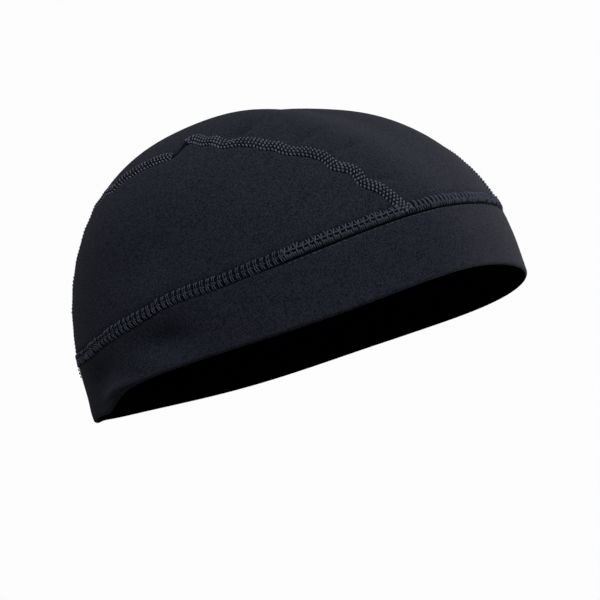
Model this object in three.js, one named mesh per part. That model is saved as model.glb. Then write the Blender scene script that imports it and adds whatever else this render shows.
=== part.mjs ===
import * as THREE from 'three';

// Helmet liner cap: a close skull cap of thin stretch jersey, worn under a helmet.
// A wide band of doubled cloth goes round the head. Above it a centre panel runs from the
// forehead over the crown to the nape, with a side panel at each ear. Flat, wide, raised
// seams join them: one round the top of the band, and one each side of the centre panel.
//
// The cap is modelled as it sits on a head, filled out and open below.
// Millimetres. +X is the wearer's front, +Y the wearer's left and +Z up.
// The origin is the middle of the head opening, level with the rim.
//
// Words used below. The bearing goes round the cap: 0 at the front, 90 at the wearer's left.
// The arc goes over the cap from front to back: 0 ahead, 90 straight up, 180 behind.
// The lean is the angle away from the middle plane, towards the wearer's left or right.
// A direction points from the middle of the form to a place on the cloth.

// Driving sizes
const frontReach = 109;
const backReach = 91;
const halfWidth = 81;
const crownHeight = 104;
const wallHeight = 11;
const bandHeight = 25.6;
const clothThickness = 1.2;
const bandLayers = 2;
const bandSeamWidth = 5.9;
const crownSeamWidth = 5.6;
const seamRise = 0.7;
const seamUnderside = 0.5;
const seamGap = 0.3;
const panelTipCut = 1.5;
const puckerDepth = 0.4;
const puckerSway = 0.6;
const puckerReach = 6;
const puckerCount = 26;
const foldSize = 30;
const foldDepth = 1.6;
const waveFadeHeight = 68;

// How square the outline is: 2 is an ellipse, more is squarer and less is more pointed.
const planFullness = { front: 2.4, back: 2.0 };
const domeFullness = { front: 1.8, side: 2.65, back: 1.93 };

// The rim dips and lifts in soft waves. Turns are waves in a round, rise is a share of bandHeight.
const rimWaves = [
  { turns: 1, rise: -0.152 },
  { turns: 2, rise: 0.047 },
  { turns: 3, rise: 0.045 },
  { turns: 4, rise: 0.039 },
];

// The rim sags behind the right ear, at each bearing over its spread in degrees. Drop is a share of bandHeight.
const rimSags = [
  { bearing: -160, spread: 33, drop: 0.11 },
  { bearing: -126, spread: 12, drop: 0.17 },
];

// The seam on the band is higher at the front and back than at the ears, by this share of bandHeight.
const bandSeamArch = 0.084;

// The path of a crown seam, in degrees: it widens to the crown and closes in towards the nape.
const seamPath = [
  { arc: 0, lean: 15.5 },
  { arc: 15, lean: 20.5 },
  { arc: 30, lean: 25.6 },
  { arc: 45, lean: 30.3 },
  { arc: 60, lean: 33 },
  { arc: 75, lean: 33.5 },
  { arc: 90, lean: 35 },
  { arc: 105, lean: 34.6 },
  { arc: 116, lean: 31.2 },
  { arc: 150, lean: 32 },
  { arc: 180, lean: 28 },
];

// How strongly the cloth puckers along a crown seam, as a share of the full pucker.
const puckerShare = [
  { arc: 0, share: 0.6 },
  { arc: 25, share: 1 },
  { arc: 45, share: 0.8 },
  { arc: 55, share: 0.2 },
  { arc: 65, share: 0.7 },
  { arc: 90, share: 0.3 },
  { arc: 115, share: 1 },
  { arc: 180, share: 1 },
];

// What differs between the wearer's right seam and left seam. The right one has a tuck on the crown,
// where the seam jogs sideways by an angle at its arc, settles again over its spread, and is pinched
// narrower by a share of its width.
const seamSides = {
  right: { sign: -1, startTurn: 0, tuckJog: 5.2, tuckPinch: 0.6 },
  left: { sign: 1, startTurn: 0.35, tuckJog: 0, tuckPinch: 0 },
};
const tuck = { arc: 77.3, snap: 1.5, spread: 8, pinchSpread: 2.6 };

// Folds and dents. Bearing and turn are in degrees, height is a share of crownHeight, along and
// across are half lengths as shares of foldSize, and depth is a share of foldDepth, inwards if below 0.
const folds = [
  { place: 'crown tuck', bearing: -76.5, height: 0.845, along: 0.22, across: 0.08, turn: 16, depth: -1 },
  { place: 'dent beside the crown seam', bearing: -54, height: 0.83, along: 0.35, across: 0.15, turn: 36, depth: -0.6 },
  { place: 'hollow over the right ear', bearing: -93, height: 0.17, along: 0.8, across: 0.22, turn: 5, depth: -0.5 },
  { place: 'roll along the rim behind it', bearing: -105, height: 0.05, along: 0.65, across: 0.15, turn: 9, depth: 0.4 },
  { place: 'rim tucked in at the back', bearing: -128, height: 0, along: 0.5, across: 0.3, turn: 0, depth: -0.8 },
];

// Sections across the pieces. Across is a share of the width, rise a share of the seam's rise.
const crownSeamSection = [
  { across: -0.5, rise: 0.2 },
  { across: -0.3, rise: 1 },
  { across: 0.3, rise: 1 },
  { across: 0.5, rise: 0.2 },
];
const bandSeamSection = [
  { across: 0, rise: 0.2 },
  { across: 0.24, rise: 1 },
  { across: 0.5, rise: 0.55 },
  { across: 0.76, rise: 1 },
  { across: 1, rise: 0.2 },
];

// The band from its folded lower edge upwards. Draw is how far each face draws in towards the
// middle of the fold, as a share of half the band's thickness. Height is the share of the band's
// height above the fold, and roll the share of the fold's own height below that.
const bandSection = [
  { roll: 0, height: 0, draw: 0.62 },
  { roll: 0.3, height: 0, draw: 0.24 },
  { roll: 1, height: 0, draw: 0 },
  { roll: 1, height: 0.3, draw: 0 },
  { roll: 1, height: 0.55, draw: 0 },
  { roll: 1, height: 0.8, draw: 0 },
  { roll: 1, height: 1, draw: 0 },
];

// Fineness of the faceted surfaces
const ringSteps = 72;
const seamSteps = 96;
const panelSteps = 40;
const panelShares = [0, 0.1, 0.25, 0.42, 0.58, 0.75, 0.9, 1];
const sideShares = [0, 0.1, 0.27, 0.45, 0.63, 0.82, 1];
const normalStep = 0.002;

// A crown seam meets the band ahead of the first of these arcs and behind the second.
const clearArcs = { front: 60, back: 120 };
const searchRounds = 40;

// Colours: black cloth with a little blue in it, and the thread a shade lighter
const clothColour = 0x1d1f2a;
const threadColour = 0x2b2d3a;
const clothRoughness = 0.85;
const threadRoughness = 0.7;

// Worked out from the sizes above
const bandThickness = clothThickness * bandLayers;
const domeHeight = crownHeight - wallHeight;
const degree = Math.PI / 180;
const fullTurn = 360;
const halfTurn = 180;

/** A smooth value from a short table, through every row, read at x in the named key. */
function smoothAt(table, key, column, x) {
  const last = table.length - 1;
  const place = Math.min(Math.max(x, table[0][key]), table[last][key]);
  let row = 0;
  while (row < last - 1 && place > table[row + 1][key]) row += 1;
  const slope = (i) => {
    const before = table[Math.max(i - 1, 0)];
    const after = table[Math.min(i + 1, last)];
    return (after[column] - before[column]) / (after[key] - before[key]);
  };
  const span = table[row + 1][key] - table[row][key];
  const t = (place - table[row][key]) / span;
  const start = table[row][column] * (1 + 2 * t) * (1 - t) ** 2 + slope(row) * span * t * (1 - t) ** 2;
  const end = table[row + 1][column] * (3 - 2 * t) * t ** 2 - slope(row + 1) * span * t ** 2 * (1 - t);
  return start + end;
}

/** The squareness of the plan outline at a bearing in radians. */
function planPower(bearing) {
  const middle = (planFullness.front + planFullness.back) / 2;
  const swing = (planFullness.front - planFullness.back) / 2;
  return middle + swing * Math.cos(bearing);
}

/** The squareness of the upright outline at a bearing in radians. */
function domePower(bearing) {
  const ahead = Math.cos(bearing) ** 2;
  const end = Math.cos(bearing) >= 0 ? domeFullness.front : domeFullness.back;
  return end * ahead + domeFullness.side * (1 - ahead);
}

function reachOf(x) {
  return x >= 0 ? frontReach : backReach;
}

function bearingOf(direction) {
  return Math.atan2(direction.y / halfWidth, direction.x / reachOf(direction.x));
}

/** The place on the outer form in a direction, measured from the middle of the form. */
function onForm(direction) {
  const bearing = bearingOf(direction);
  const plan = planPower(bearing);
  const dome = domePower(bearing);
  const ahead = Math.abs(direction.x / reachOf(direction.x));
  const aside = Math.abs(direction.y / halfWidth);
  const across = (ahead ** plan + aside ** plan) ** (1 / plan);
  const upward = Math.max(direction.z, 0) / domeHeight;
  return direction.clone().multiplyScalar((across ** dome + upward ** dome) ** (-1 / dome));
}

/** The direction of the place at a bearing in radians and a height above the rim. */
function towards(bearing, height) {
  const plan = planPower(bearing);
  const dome = domePower(bearing);
  const ahead = Math.cos(bearing);
  const aside = Math.sin(bearing);
  const spread = (Math.abs(ahead) ** plan + Math.abs(aside) ** plan) ** (-1 / plan);
  const climb = Math.max(0, (height - wallHeight) / domeHeight);
  const draw = (1 - climb ** dome) ** (1 / dome);
  const x = reachOf(ahead) * ahead * spread * draw;
  const y = halfWidth * aside * spread * draw;
  return new THREE.Vector3(x, y, height - wallHeight);
}

/** The outward normal of the form in a direction, from short steps to each side of it. */
function normalAt(direction) {
  const outward = direction.clone().normalize();
  const nearTop = outward.z > Math.abs(outward.x);
  const aside = new THREE.Vector3(nearTop ? 1 : 0, 0, nearTop ? 0 : 1).cross(outward).normalize();
  const along = outward.clone().cross(aside);
  const across = (axis) => {
    const beyond = onForm(outward.clone().addScaledVector(axis, normalStep));
    return beyond.sub(onForm(outward.clone().addScaledVector(axis, -normalStep)));
  };
  return across(aside).cross(across(along)).normalize();
}

// Each fold's own axes on the cloth, found once
const placedFolds = folds.map((fold) => {
  const middle = towards(fold.bearing * degree, fold.height * crownHeight);
  const normal = normalAt(middle);
  const level = new THREE.Vector3(0, 0, 1).cross(normal).normalize();
  const upward = normal.clone().cross(level);
  const turn = fold.turn * degree;
  const lengthwise = level.multiplyScalar(Math.cos(turn)).addScaledVector(upward, Math.sin(turn));
  return {
    middle,
    lengthwise: lengthwise.clone().divideScalar(fold.along * foldSize),
    crosswise: normal.cross(lengthwise).divideScalar(fold.across * foldSize),
    depth: fold.depth * foldDepth,
  };
});

function seamSideOf(direction) {
  return direction.y < 0 ? seamSides.right : seamSides.left;
}

/** Where a pucker wave stands at an arc, in radians. */
function puckerPhase(side, arc) {
  return 2 * Math.PI * ((puckerCount * arc) / halfTurn + side.startTurn);
}

/** The lean of a crown seam's middle line, in degrees, with its tuck and its sway. */
function seamLean(side, arc) {
  const offset = arc - tuck.arc;
  const settle = Math.exp(-((offset / tuck.spread) ** 2));
  const jog = (side.tuckJog / 2) * Math.tanh(offset / tuck.snap) * settle;
  const sway = (puckerSway / halfWidth / degree) * smoothAt(puckerShare, 'arc', 'share', arc);
  return smoothAt(seamPath, 'arc', 'lean', arc) + jog + sway * Math.sin(puckerPhase(side, arc));
}

/** The width of a crown seam at an arc, narrower where it is pinched. */
function crownSeamWidthAt(side, arc) {
  return crownSeamWidth * (1 - side.tuckPinch * Math.exp(-(((arc - tuck.arc) / tuck.pinchSpread) ** 2)));
}

/** The height of the lower edge of the band's seam at a bearing in radians. */
function bandSeamHeight(bearing) {
  return bandHeight * (1 + bandSeamArch * Math.cos(2 * bearing));
}

/** How far a place lies above the top edge of the band's seam. */
function aboveBandSeam(direction) {
  return onForm(direction).z + wallHeight - bandSeamHeight(bearingOf(direction)) - bandSeamWidth;
}

/** How far the cloth stands off the smooth form in a direction: its puckers, folds and dents. */
function relief(direction) {
  const place = onForm(direction);
  const arc = Math.atan2(direction.z, direction.x) / degree;
  const lean = Math.atan2(Math.abs(direction.y), Math.hypot(direction.x, direction.z)) / degree;
  const side = seamSideOf(direction);
  const distance = (lean - seamLean(side, arc)) * degree * place.length();
  const share = smoothAt(puckerShare, 'arc', 'share', arc) * Math.exp(-((distance / puckerReach) ** 2));
  const emerging = Math.min(Math.max(aboveBandSeam(direction) / bandSeamWidth, 0), 1);
  let height = puckerDepth * share * emerging * Math.cos(puckerPhase(side, arc));
  for (const { middle, lengthwise, crosswise, depth } of placedFolds) {
    const away = place.clone().sub(middle);
    const sameSide = place.dot(middle) > 0 ? 1 : 0;
    height += sameSide * depth * Math.exp(-(away.dot(lengthwise) ** 2) - away.dot(crosswise) ** 2);
  }
  return height;
}

/** How far the rim is lifted at a bearing in radians, by its waves and its sags. */
function rimLift(bearing) {
  const waves = rimWaves.reduce((sum, { turns, rise }) => sum + rise * Math.cos(turns * bearing), 0);
  const sags = rimSags.reduce((sum, sag) => {
    const turn = bearing / degree - sag.bearing;
    const offset = turn - fullTurn * Math.round(turn / fullTurn);
    return sum + sag.drop * Math.exp(-((offset / sag.spread) ** 2));
  }, 0);
  return bandHeight * (waves - sags);
}

/** A finished place on the cloth, an offset outwards from the form in a direction. */
function clothPoint(direction, offset) {
  const point = onForm(direction).addScaledVector(normalAt(direction), offset + relief(direction));
  point.z += wallHeight;
  const fade = Math.min(Math.max(1 - point.z / waveFadeHeight, 0), 1) ** 2;
  point.z += rimLift(bearingOf(direction)) * fade;
  return point;
}

/**
 * The direction of a place beside a crown seam's middle line: a share of the seam's width towards
 * the ear, and a clearance further out on the same side.
 */
function besideSeam(side, arc, across, clearance) {
  const lineAt = (at) => {
    const lean = seamLean(side, at) * degree;
    const flat = Math.cos(lean);
    const x = flat * Math.cos(at * degree);
    const z = flat * Math.sin(at * degree);
    return onForm(new THREE.Vector3(x, side.sign * Math.sin(lean), z));
  };
  const here = lineAt(arc);
  const along = lineAt(arc + 1).sub(lineAt(arc - 1));
  const toEar = normalAt(here).cross(along).normalize().multiplyScalar(-side.sign);
  return here.addScaledVector(toEar, across * crownSeamWidthAt(side, arc) + clearance);
}

/** The arc where a line beside a crown seam comes down to the top of the band's seam. */
function arcAtBand(side, across, clearance, belowArc, aboveArc) {
  let low = belowArc;
  let high = aboveArc;
  for (let round = 0; round < searchRounds; round += 1) {
    const middle = (low + high) / 2;
    if (aboveBandSeam(besideSeam(side, middle, across, clearance)) > seamGap) high = middle;
    else low = middle;
  }
  return high;
}

/** The line beside a crown seam, from the band in front (share 0) over to the band behind (share 1). */
function seamLine(side, across, clearance = 0, cut = 0) {
  const cutArc = cut / halfWidth / degree;
  const start = arcAtBand(side, across, clearance, 0, clearArcs.front) + cutArc;
  const end = arcAtBand(side, across, clearance, halfTurn, clearArcs.back) - cutArc;
  return (share) => besideSeam(side, start + (end - start) * share, across, clearance);
}

/** The line just above the band's seam, between two bearings in radians. */
function bandLine(from, to) {
  return (share) => {
    const bearing = from + (to - from) * share;
    return towards(bearing, bandSeamHeight(bearing) + bandSeamWidth + seamGap);
  };
}

/** A row of directions along a line. */
function rowAlong(line, steps) {
  return Array.from({ length: steps + 1 }, (_, i) => line(i / steps));
}

/** A closed row of directions round the cap at a height that follows the bearing. */
function ringRow(heightAt) {
  return Array.from({ length: ringSteps }, (_, i) => {
    const bearing = (i / ringSteps) * fullTurn * degree;
    return towards(bearing, heightAt(bearing));
  });
}

/** The triangles between two rows of vertex numbers, which may hold different counts. */
function zipRows(first, second) {
  const triangles = [];
  let i = 0;
  let j = 0;
  while (i < first.length - 1 || j < second.length - 1) {
    const nextFirst = (i + 1) / (first.length - 1);
    const nextSecond = (j + 1) / (second.length - 1);
    if (j === second.length - 1 || (i < first.length - 1 && nextFirst <= nextSecond)) {
      triangles.push([first[i], first[i + 1], second[j]]);
      i += 1;
    } else {
      triangles.push([first[i], second[j + 1], second[j]]);
      j += 1;
    }
  }
  return triangles;
}

/** The walls that join the open edges of a sheet's outer face to its inner face. */
function edgeWalls(triangles, count) {
  const edges = new Map();
  for (const [a, b, c] of triangles) {
    for (const [from, to] of [[a, b], [b, c], [c, a]]) edges.set(`${from} ${to}`, [from, to]);
  }
  const walls = [];
  for (const [from, to] of edges.values()) {
    if (edges.has(`${to} ${from}`)) continue;
    walls.push([to, from, from + count], [to, from + count, to + count]);
  }
  return walls;
}

/** The volume inside a closed set of triangles, below 0 if they face inwards. */
function signedVolume(points, triangles) {
  const volumeOf = ([a, b, c]) => points[a].dot(points[b].clone().cross(points[c])) / 6;
  return triangles.reduce((sum, triangle) => sum + volumeOf(triangle), 0);
}

/**
 * A closed solid of cloth from rows of directions. Each row gives the offsets of its outer and
 * inner faces from the form, and a ring's rows close on themselves.
 */
function clothSolid(rows, { ring = false } = {}) {
  const numbers = [];
  let count = 0;
  for (const { directions } of rows) {
    const row = directions.map((_, i) => count + i);
    numbers.push(ring ? [...row, row[0]] : row);
    count += directions.length;
  }
  const outer = numbers.slice(1).flatMap((row, i) => zipRows(numbers[i], row));
  const inner = outer.map(([a, b, c]) => [a + count, c + count, b + count]);
  const points = [
    ...rows.flatMap(({ directions, outside }) => directions.map((d) => clothPoint(d, outside))),
    ...rows.flatMap(({ directions, inside }) => directions.map((d) => clothPoint(d, inside))),
  ];
  const triangles = [...outer, ...inner, ...edgeWalls(outer, count)];
  const facesOut = signedVolume(points, triangles) > 0;
  const geometry = new THREE.BufferGeometry();
  geometry.setFromPoints(points);
  geometry.setIndex(triangles.flatMap(([a, b, c]) => (facesOut ? [a, b, c] : [a, c, b])));
  geometry.computeVertexNormals();
  return geometry;
}

/** The rows of a panel between two long lines and two end lines, shared out across it. */
function panelRows({ near, far, front, back, shares, nearSteps, farSteps }) {
  const unit = (v) => v.clone().normalize();
  const corners = [near(0), near(1), far(0), far(1)].map(unit);
  return shares.map((across, index) => {
    const atNear = index === 0 ? nearSteps : panelSteps;
    const steps = index === shares.length - 1 ? farSteps : atNear;
    const place = (along) => {
      const lines = new THREE.Vector3();
      lines.addScaledVector(unit(near(along)), 1 - across).addScaledVector(unit(far(along)), across);
      lines.addScaledVector(unit(front(across)), 1 - along).addScaledVector(unit(back(across)), along);
      lines.addScaledVector(corners[0], -(1 - across) * (1 - along));
      lines.addScaledVector(corners[1], -(1 - across) * along);
      lines.addScaledVector(corners[2], -across * (1 - along));
      return lines.addScaledVector(corners[3], -across * along);
    };
    return { directions: rowAlong(place, steps), outside: 0, inside: -clothThickness };
  });
}

/** The straight line between two directions, used for the blunt tips of a side panel. */
function between(from, to) {
  return (share) => from.clone().normalize().lerp(to.clone().normalize(), share);
}

/** The band: doubled cloth from the folded rim up to its seam. */
function bandGeometry() {
  const foldHeight = bandThickness / 2;
  const rows = bandSection.map(({ roll, height, draw }) => {
    const heightAt = (bearing) => {
      const above = bandSeamHeight(bearing) - seamGap - foldHeight;
      return foldHeight * roll + above * height;
    };
    const drawIn = (bandThickness / 2) * draw;
    return { directions: ringRow(heightAt), outside: -drawIn, inside: drawIn - bandThickness };
  });
  return clothSolid(rows, { ring: true });
}

/** A seam's outer and inner offsets for a row of its section. */
function seamOffsets(rise, cloth) {
  return { outside: seamRise * rise, inside: -cloth - seamUnderside * rise };
}

/** The seam round the top of the band, with two ridges and a groove between them. */
function bandSeamGeometry() {
  const rows = bandSeamSection.map(({ across, rise }) => {
    const heightAt = (bearing) => bandSeamHeight(bearing) + bandSeamWidth * across;
    return { directions: ringRow(heightAt), ...seamOffsets(rise, clothThickness) };
  });
  return clothSolid(rows, { ring: true });
}

/** A crown seam: a flat raised strip from the band in front to the band behind. */
function crownSeamGeometry(side) {
  const rows = crownSeamSection.map(({ across, rise }) => {
    const line = seamLine(side, across);
    return { directions: rowAlong(line, seamSteps), ...seamOffsets(rise, clothThickness) };
  });
  return clothSolid(rows);
}

/** The panel over the crown, between the two crown seams. */
function centrePanelGeometry() {
  const near = seamLine(seamSides.right, -0.5, -seamGap);
  const far = seamLine(seamSides.left, -0.5, -seamGap);
  const front = bandLine(bearingOf(near(0)), bearingOf(far(0)));
  const behind = (direction) => (bearingOf(direction) + 2 * Math.PI) % (2 * Math.PI);
  const back = bandLine(behind(near(1)), behind(far(1)));
  const shares = panelShares;
  return clothSolid(panelRows({ near, far, front, back, shares, nearSteps: seamSteps, farSteps: seamSteps }));
}

/** The panel over one ear, between a crown seam and the band's seam. */
function sidePanelGeometry(side) {
  const near = seamLine(side, 0.5, seamGap, panelTipCut);
  const edge = seamLine(side, 0.5, seamGap);
  const cutTurn = side.sign * (panelTipCut / halfWidth);
  const far = bandLine(bearingOf(edge(0)) + cutTurn, bearingOf(edge(1)) - cutTurn);
  const front = between(near(0), far(0));
  const back = between(near(1), far(1));
  const shares = sideShares;
  return clothSolid(panelRows({ near, far, front, back, shares, nearSteps: seamSteps, farSteps: panelSteps }));
}

function clothMaterial() {
  return new THREE.MeshStandardMaterial({ color: clothColour, roughness: clothRoughness, metalness: 0 });
}

function threadMaterial() {
  return new THREE.MeshStandardMaterial({ color: threadColour, roughness: threadRoughness, metalness: 0 });
}

function piece(name, geometry, material) {
  const mesh = new THREE.Mesh(geometry, material);
  mesh.name = name;
  return mesh;
}

const cap = new THREE.Group();
cap.name = 'helmet_liner_cap';
cap.add(piece('band', bandGeometry(), clothMaterial()));
cap.add(piece('band_seam', bandSeamGeometry(), threadMaterial()));
cap.add(piece('centre_panel', centrePanelGeometry(), clothMaterial()));
for (const [name, side] of Object.entries(seamSides)) {
  cap.add(piece(`side_panel_${name}`, sidePanelGeometry(side), clothMaterial()));
  cap.add(piece(`crown_seam_${name}`, crownSeamGeometry(side), threadMaterial()));
}

export default cap;
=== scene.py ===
"""Helmet liner cap: its looks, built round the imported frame.

A close skull cap of thin stretch jersey. A doubled band goes round the head, a centre panel runs
from the forehead over the crown to the nape, and a side panel covers each ear. Flat seams covered
in thread join them. The cap is shown filled out, as it sits on a head, with its hollow open below.

Sizes are in millimetres until a mesh is made. +X is the wearer's front, +Y their left and +Z up.
The bearing goes round the cap from 0 at the front to 90 at the wearer's left. The arc goes over it
from 0 ahead, through 90 straight up, to 180 behind. The lean is the angle away from the middle plane.
"""

from __future__ import annotations

import logging
import math
from dataclasses import dataclass, field
from enum import Enum
from typing import Any, Callable, NamedTuple

import bmesh
import bpy
import numpy as np
from mathutils import Matrix, Vector

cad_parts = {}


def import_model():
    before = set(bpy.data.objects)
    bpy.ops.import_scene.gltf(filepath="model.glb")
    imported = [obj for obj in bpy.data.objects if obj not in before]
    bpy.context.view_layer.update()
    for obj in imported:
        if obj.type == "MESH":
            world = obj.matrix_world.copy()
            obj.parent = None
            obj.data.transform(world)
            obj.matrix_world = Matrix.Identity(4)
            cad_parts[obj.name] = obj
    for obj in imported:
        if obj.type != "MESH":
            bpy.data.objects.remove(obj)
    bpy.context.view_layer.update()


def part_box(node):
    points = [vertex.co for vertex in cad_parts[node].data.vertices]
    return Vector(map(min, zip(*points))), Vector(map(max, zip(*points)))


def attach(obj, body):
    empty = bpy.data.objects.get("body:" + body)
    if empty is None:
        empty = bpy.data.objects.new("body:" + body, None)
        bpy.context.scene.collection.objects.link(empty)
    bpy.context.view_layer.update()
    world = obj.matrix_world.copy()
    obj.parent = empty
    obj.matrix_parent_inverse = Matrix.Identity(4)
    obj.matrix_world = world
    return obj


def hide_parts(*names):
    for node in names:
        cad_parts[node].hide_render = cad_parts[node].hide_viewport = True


log = logging.getLogger("helmet_liner_cap")

MM = 0.001
FULL_TURN = 360.0
HALF_TURN = 180.0
BODY = "root"
OUTWARD = "outward"
# The attribute that marks painted shade: black in needle holes and along the band seam's lower edge.
HOLE_AND_EDGE_PAINTED_SHADE = "needle_hole_and_edge_painted_shade"

# How far cloth runs in under the top edge of the band's seam.
TUCKED_IN = 1.0

# How steeply a needle hole's painted shade and its dip end, as a power.
HOLE_EDGE = 1.5

Points = np.ndarray
Line = Callable[[Points], Points]
Socket = bpy.types.NodeSocket
Vector3 = tuple[float, float, float]


def linear(colour: str) -> tuple[float, float, float, float]:
    """Turn an sRGB hex colour into linear values.

    Args:
        colour: Six hex digits after a hash.

    Returns:
        Linear red, green and blue, and an alpha of 1.
    """
    shares = [int(colour[i : i + 2], 16) / 255 for i in (1, 3, 5)]
    values = [c / 12.92 if c <= 0.04045 else ((c + 0.055) / 1.055) ** 2.4 for c in shares]
    return (values[0], values[1], values[2], 1.0)


def add_node(
    tree: bpy.types.NodeTree, kind: str, inputs: dict[str | int, Any] | None = None, **settings: Any
) -> bpy.types.Node:
    """Add a node with its settings, values and links.

    Args:
        tree: The node tree that gets the node.
        kind: The node's type name.
        inputs: For an input's name or number, its value or the socket that feeds it.
        settings: The node's own properties.

    Returns:
        The new node.
    """
    node = tree.nodes.new(kind)
    for name, value in settings.items():
        setattr(node, name, value)
    for key, value in (inputs or {}).items():
        if isinstance(value, bpy.types.NodeSocket):
            tree.links.new(value, node.inputs[key])
        else:
            node.inputs[key].default_value = value
    return node


def unit(vectors: Points) -> Points:
    """Vectors of length 1 that point the same way."""
    return vectors / np.linalg.norm(vectors, axis=-1, keepdims=True)


def crowded(count: int, crowding: float) -> Points:
    """Shares from 0 to 1 that lie closer together towards both ends.

    Args:
        count: The number of steps.
        crowding: From 0, even, to under 1, very close at the ends.

    Returns:
        The shares, one more than the steps.
    """
    even = np.linspace(0, 1, count + 1)
    return even - crowding * np.sin(2 * np.pi * even) / (2 * np.pi)


class Station(NamedTuple):
    """A row of a short table: an angle in degrees, and a value there."""

    at: float
    value: float


def smooth_at(table: tuple[Station, ...], at: Points) -> Points:
    """Read a short table smoothly, through every row.

    Args:
        table: The rows, in rising order.
        at: Where to read it.

    Returns:
        The values there.
    """
    key = np.array([row.at for row in table])
    value = np.array([row.value for row in table])
    last = len(table) - 1
    before = np.maximum(np.arange(last + 1) - 1, 0)
    after = np.minimum(np.arange(last + 1) + 1, last)
    slope = (value[after] - value[before]) / (key[after] - key[before])
    place = np.clip(at, key[0], key[last])
    row = np.clip(np.searchsorted(key, place, side="left") - 1, 0, last - 1)
    span = key[row + 1] - key[row]
    t = (place - key[row]) / span
    start = value[row] * (1 + 2 * t) * (1 - t) ** 2 + slope[row] * span * t * (1 - t) ** 2
    end = value[row + 1] * (3 - 2 * t) * t**2 - slope[row + 1] * span * t**2 * (1 - t)
    return start + end


class Wave(NamedTuple):
    """A soft wave of the rim: waves in a round, and its rise as a share of the band's height."""

    turns: int
    rise: float


class Sag(NamedTuple):
    """A place where the rim hangs lower: bearing, spread in degrees, and share of the band's height."""

    bearing: float
    spread: float
    drop: float


class Pucker(NamedTuple):
    """Where a crown seam draws in its cloth: arc and spread in degrees, and its sway to the ear in mm."""

    arc: float
    spread: float
    sway: float


class Fold(NamedTuple):
    """A fold or dent. Angles in degrees, height as a share of the crown's, sizes in millimetres."""

    place: str
    bearing: float
    height: float
    along: float
    across: float
    turn: float
    depth: float


class SideName(Enum):
    """The wearer's side that a seam or a panel is on."""

    RIGHT = "right"
    LEFT = "left"


@dataclass(frozen=True)
class SeamSide:
    """What differs between the wearer's right and left crown seams.

    The right one has a tuck on the crown, where it jogs sideways by an angle and is pinched narrower.
    """

    name: SideName
    sign: float
    pucker_share: float
    pucker_shift: float
    tuck_jog: float
    tuck_pinch: float


RIGHT = SeamSide(SideName.RIGHT, sign=-1, pucker_share=1, pucker_shift=0, tuck_jog=5.2, tuck_pinch=0.93)
LEFT = SeamSide(SideName.LEFT, sign=1, pucker_share=0.15, pucker_shift=3, tuck_jog=0, tuck_pinch=0)


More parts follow.
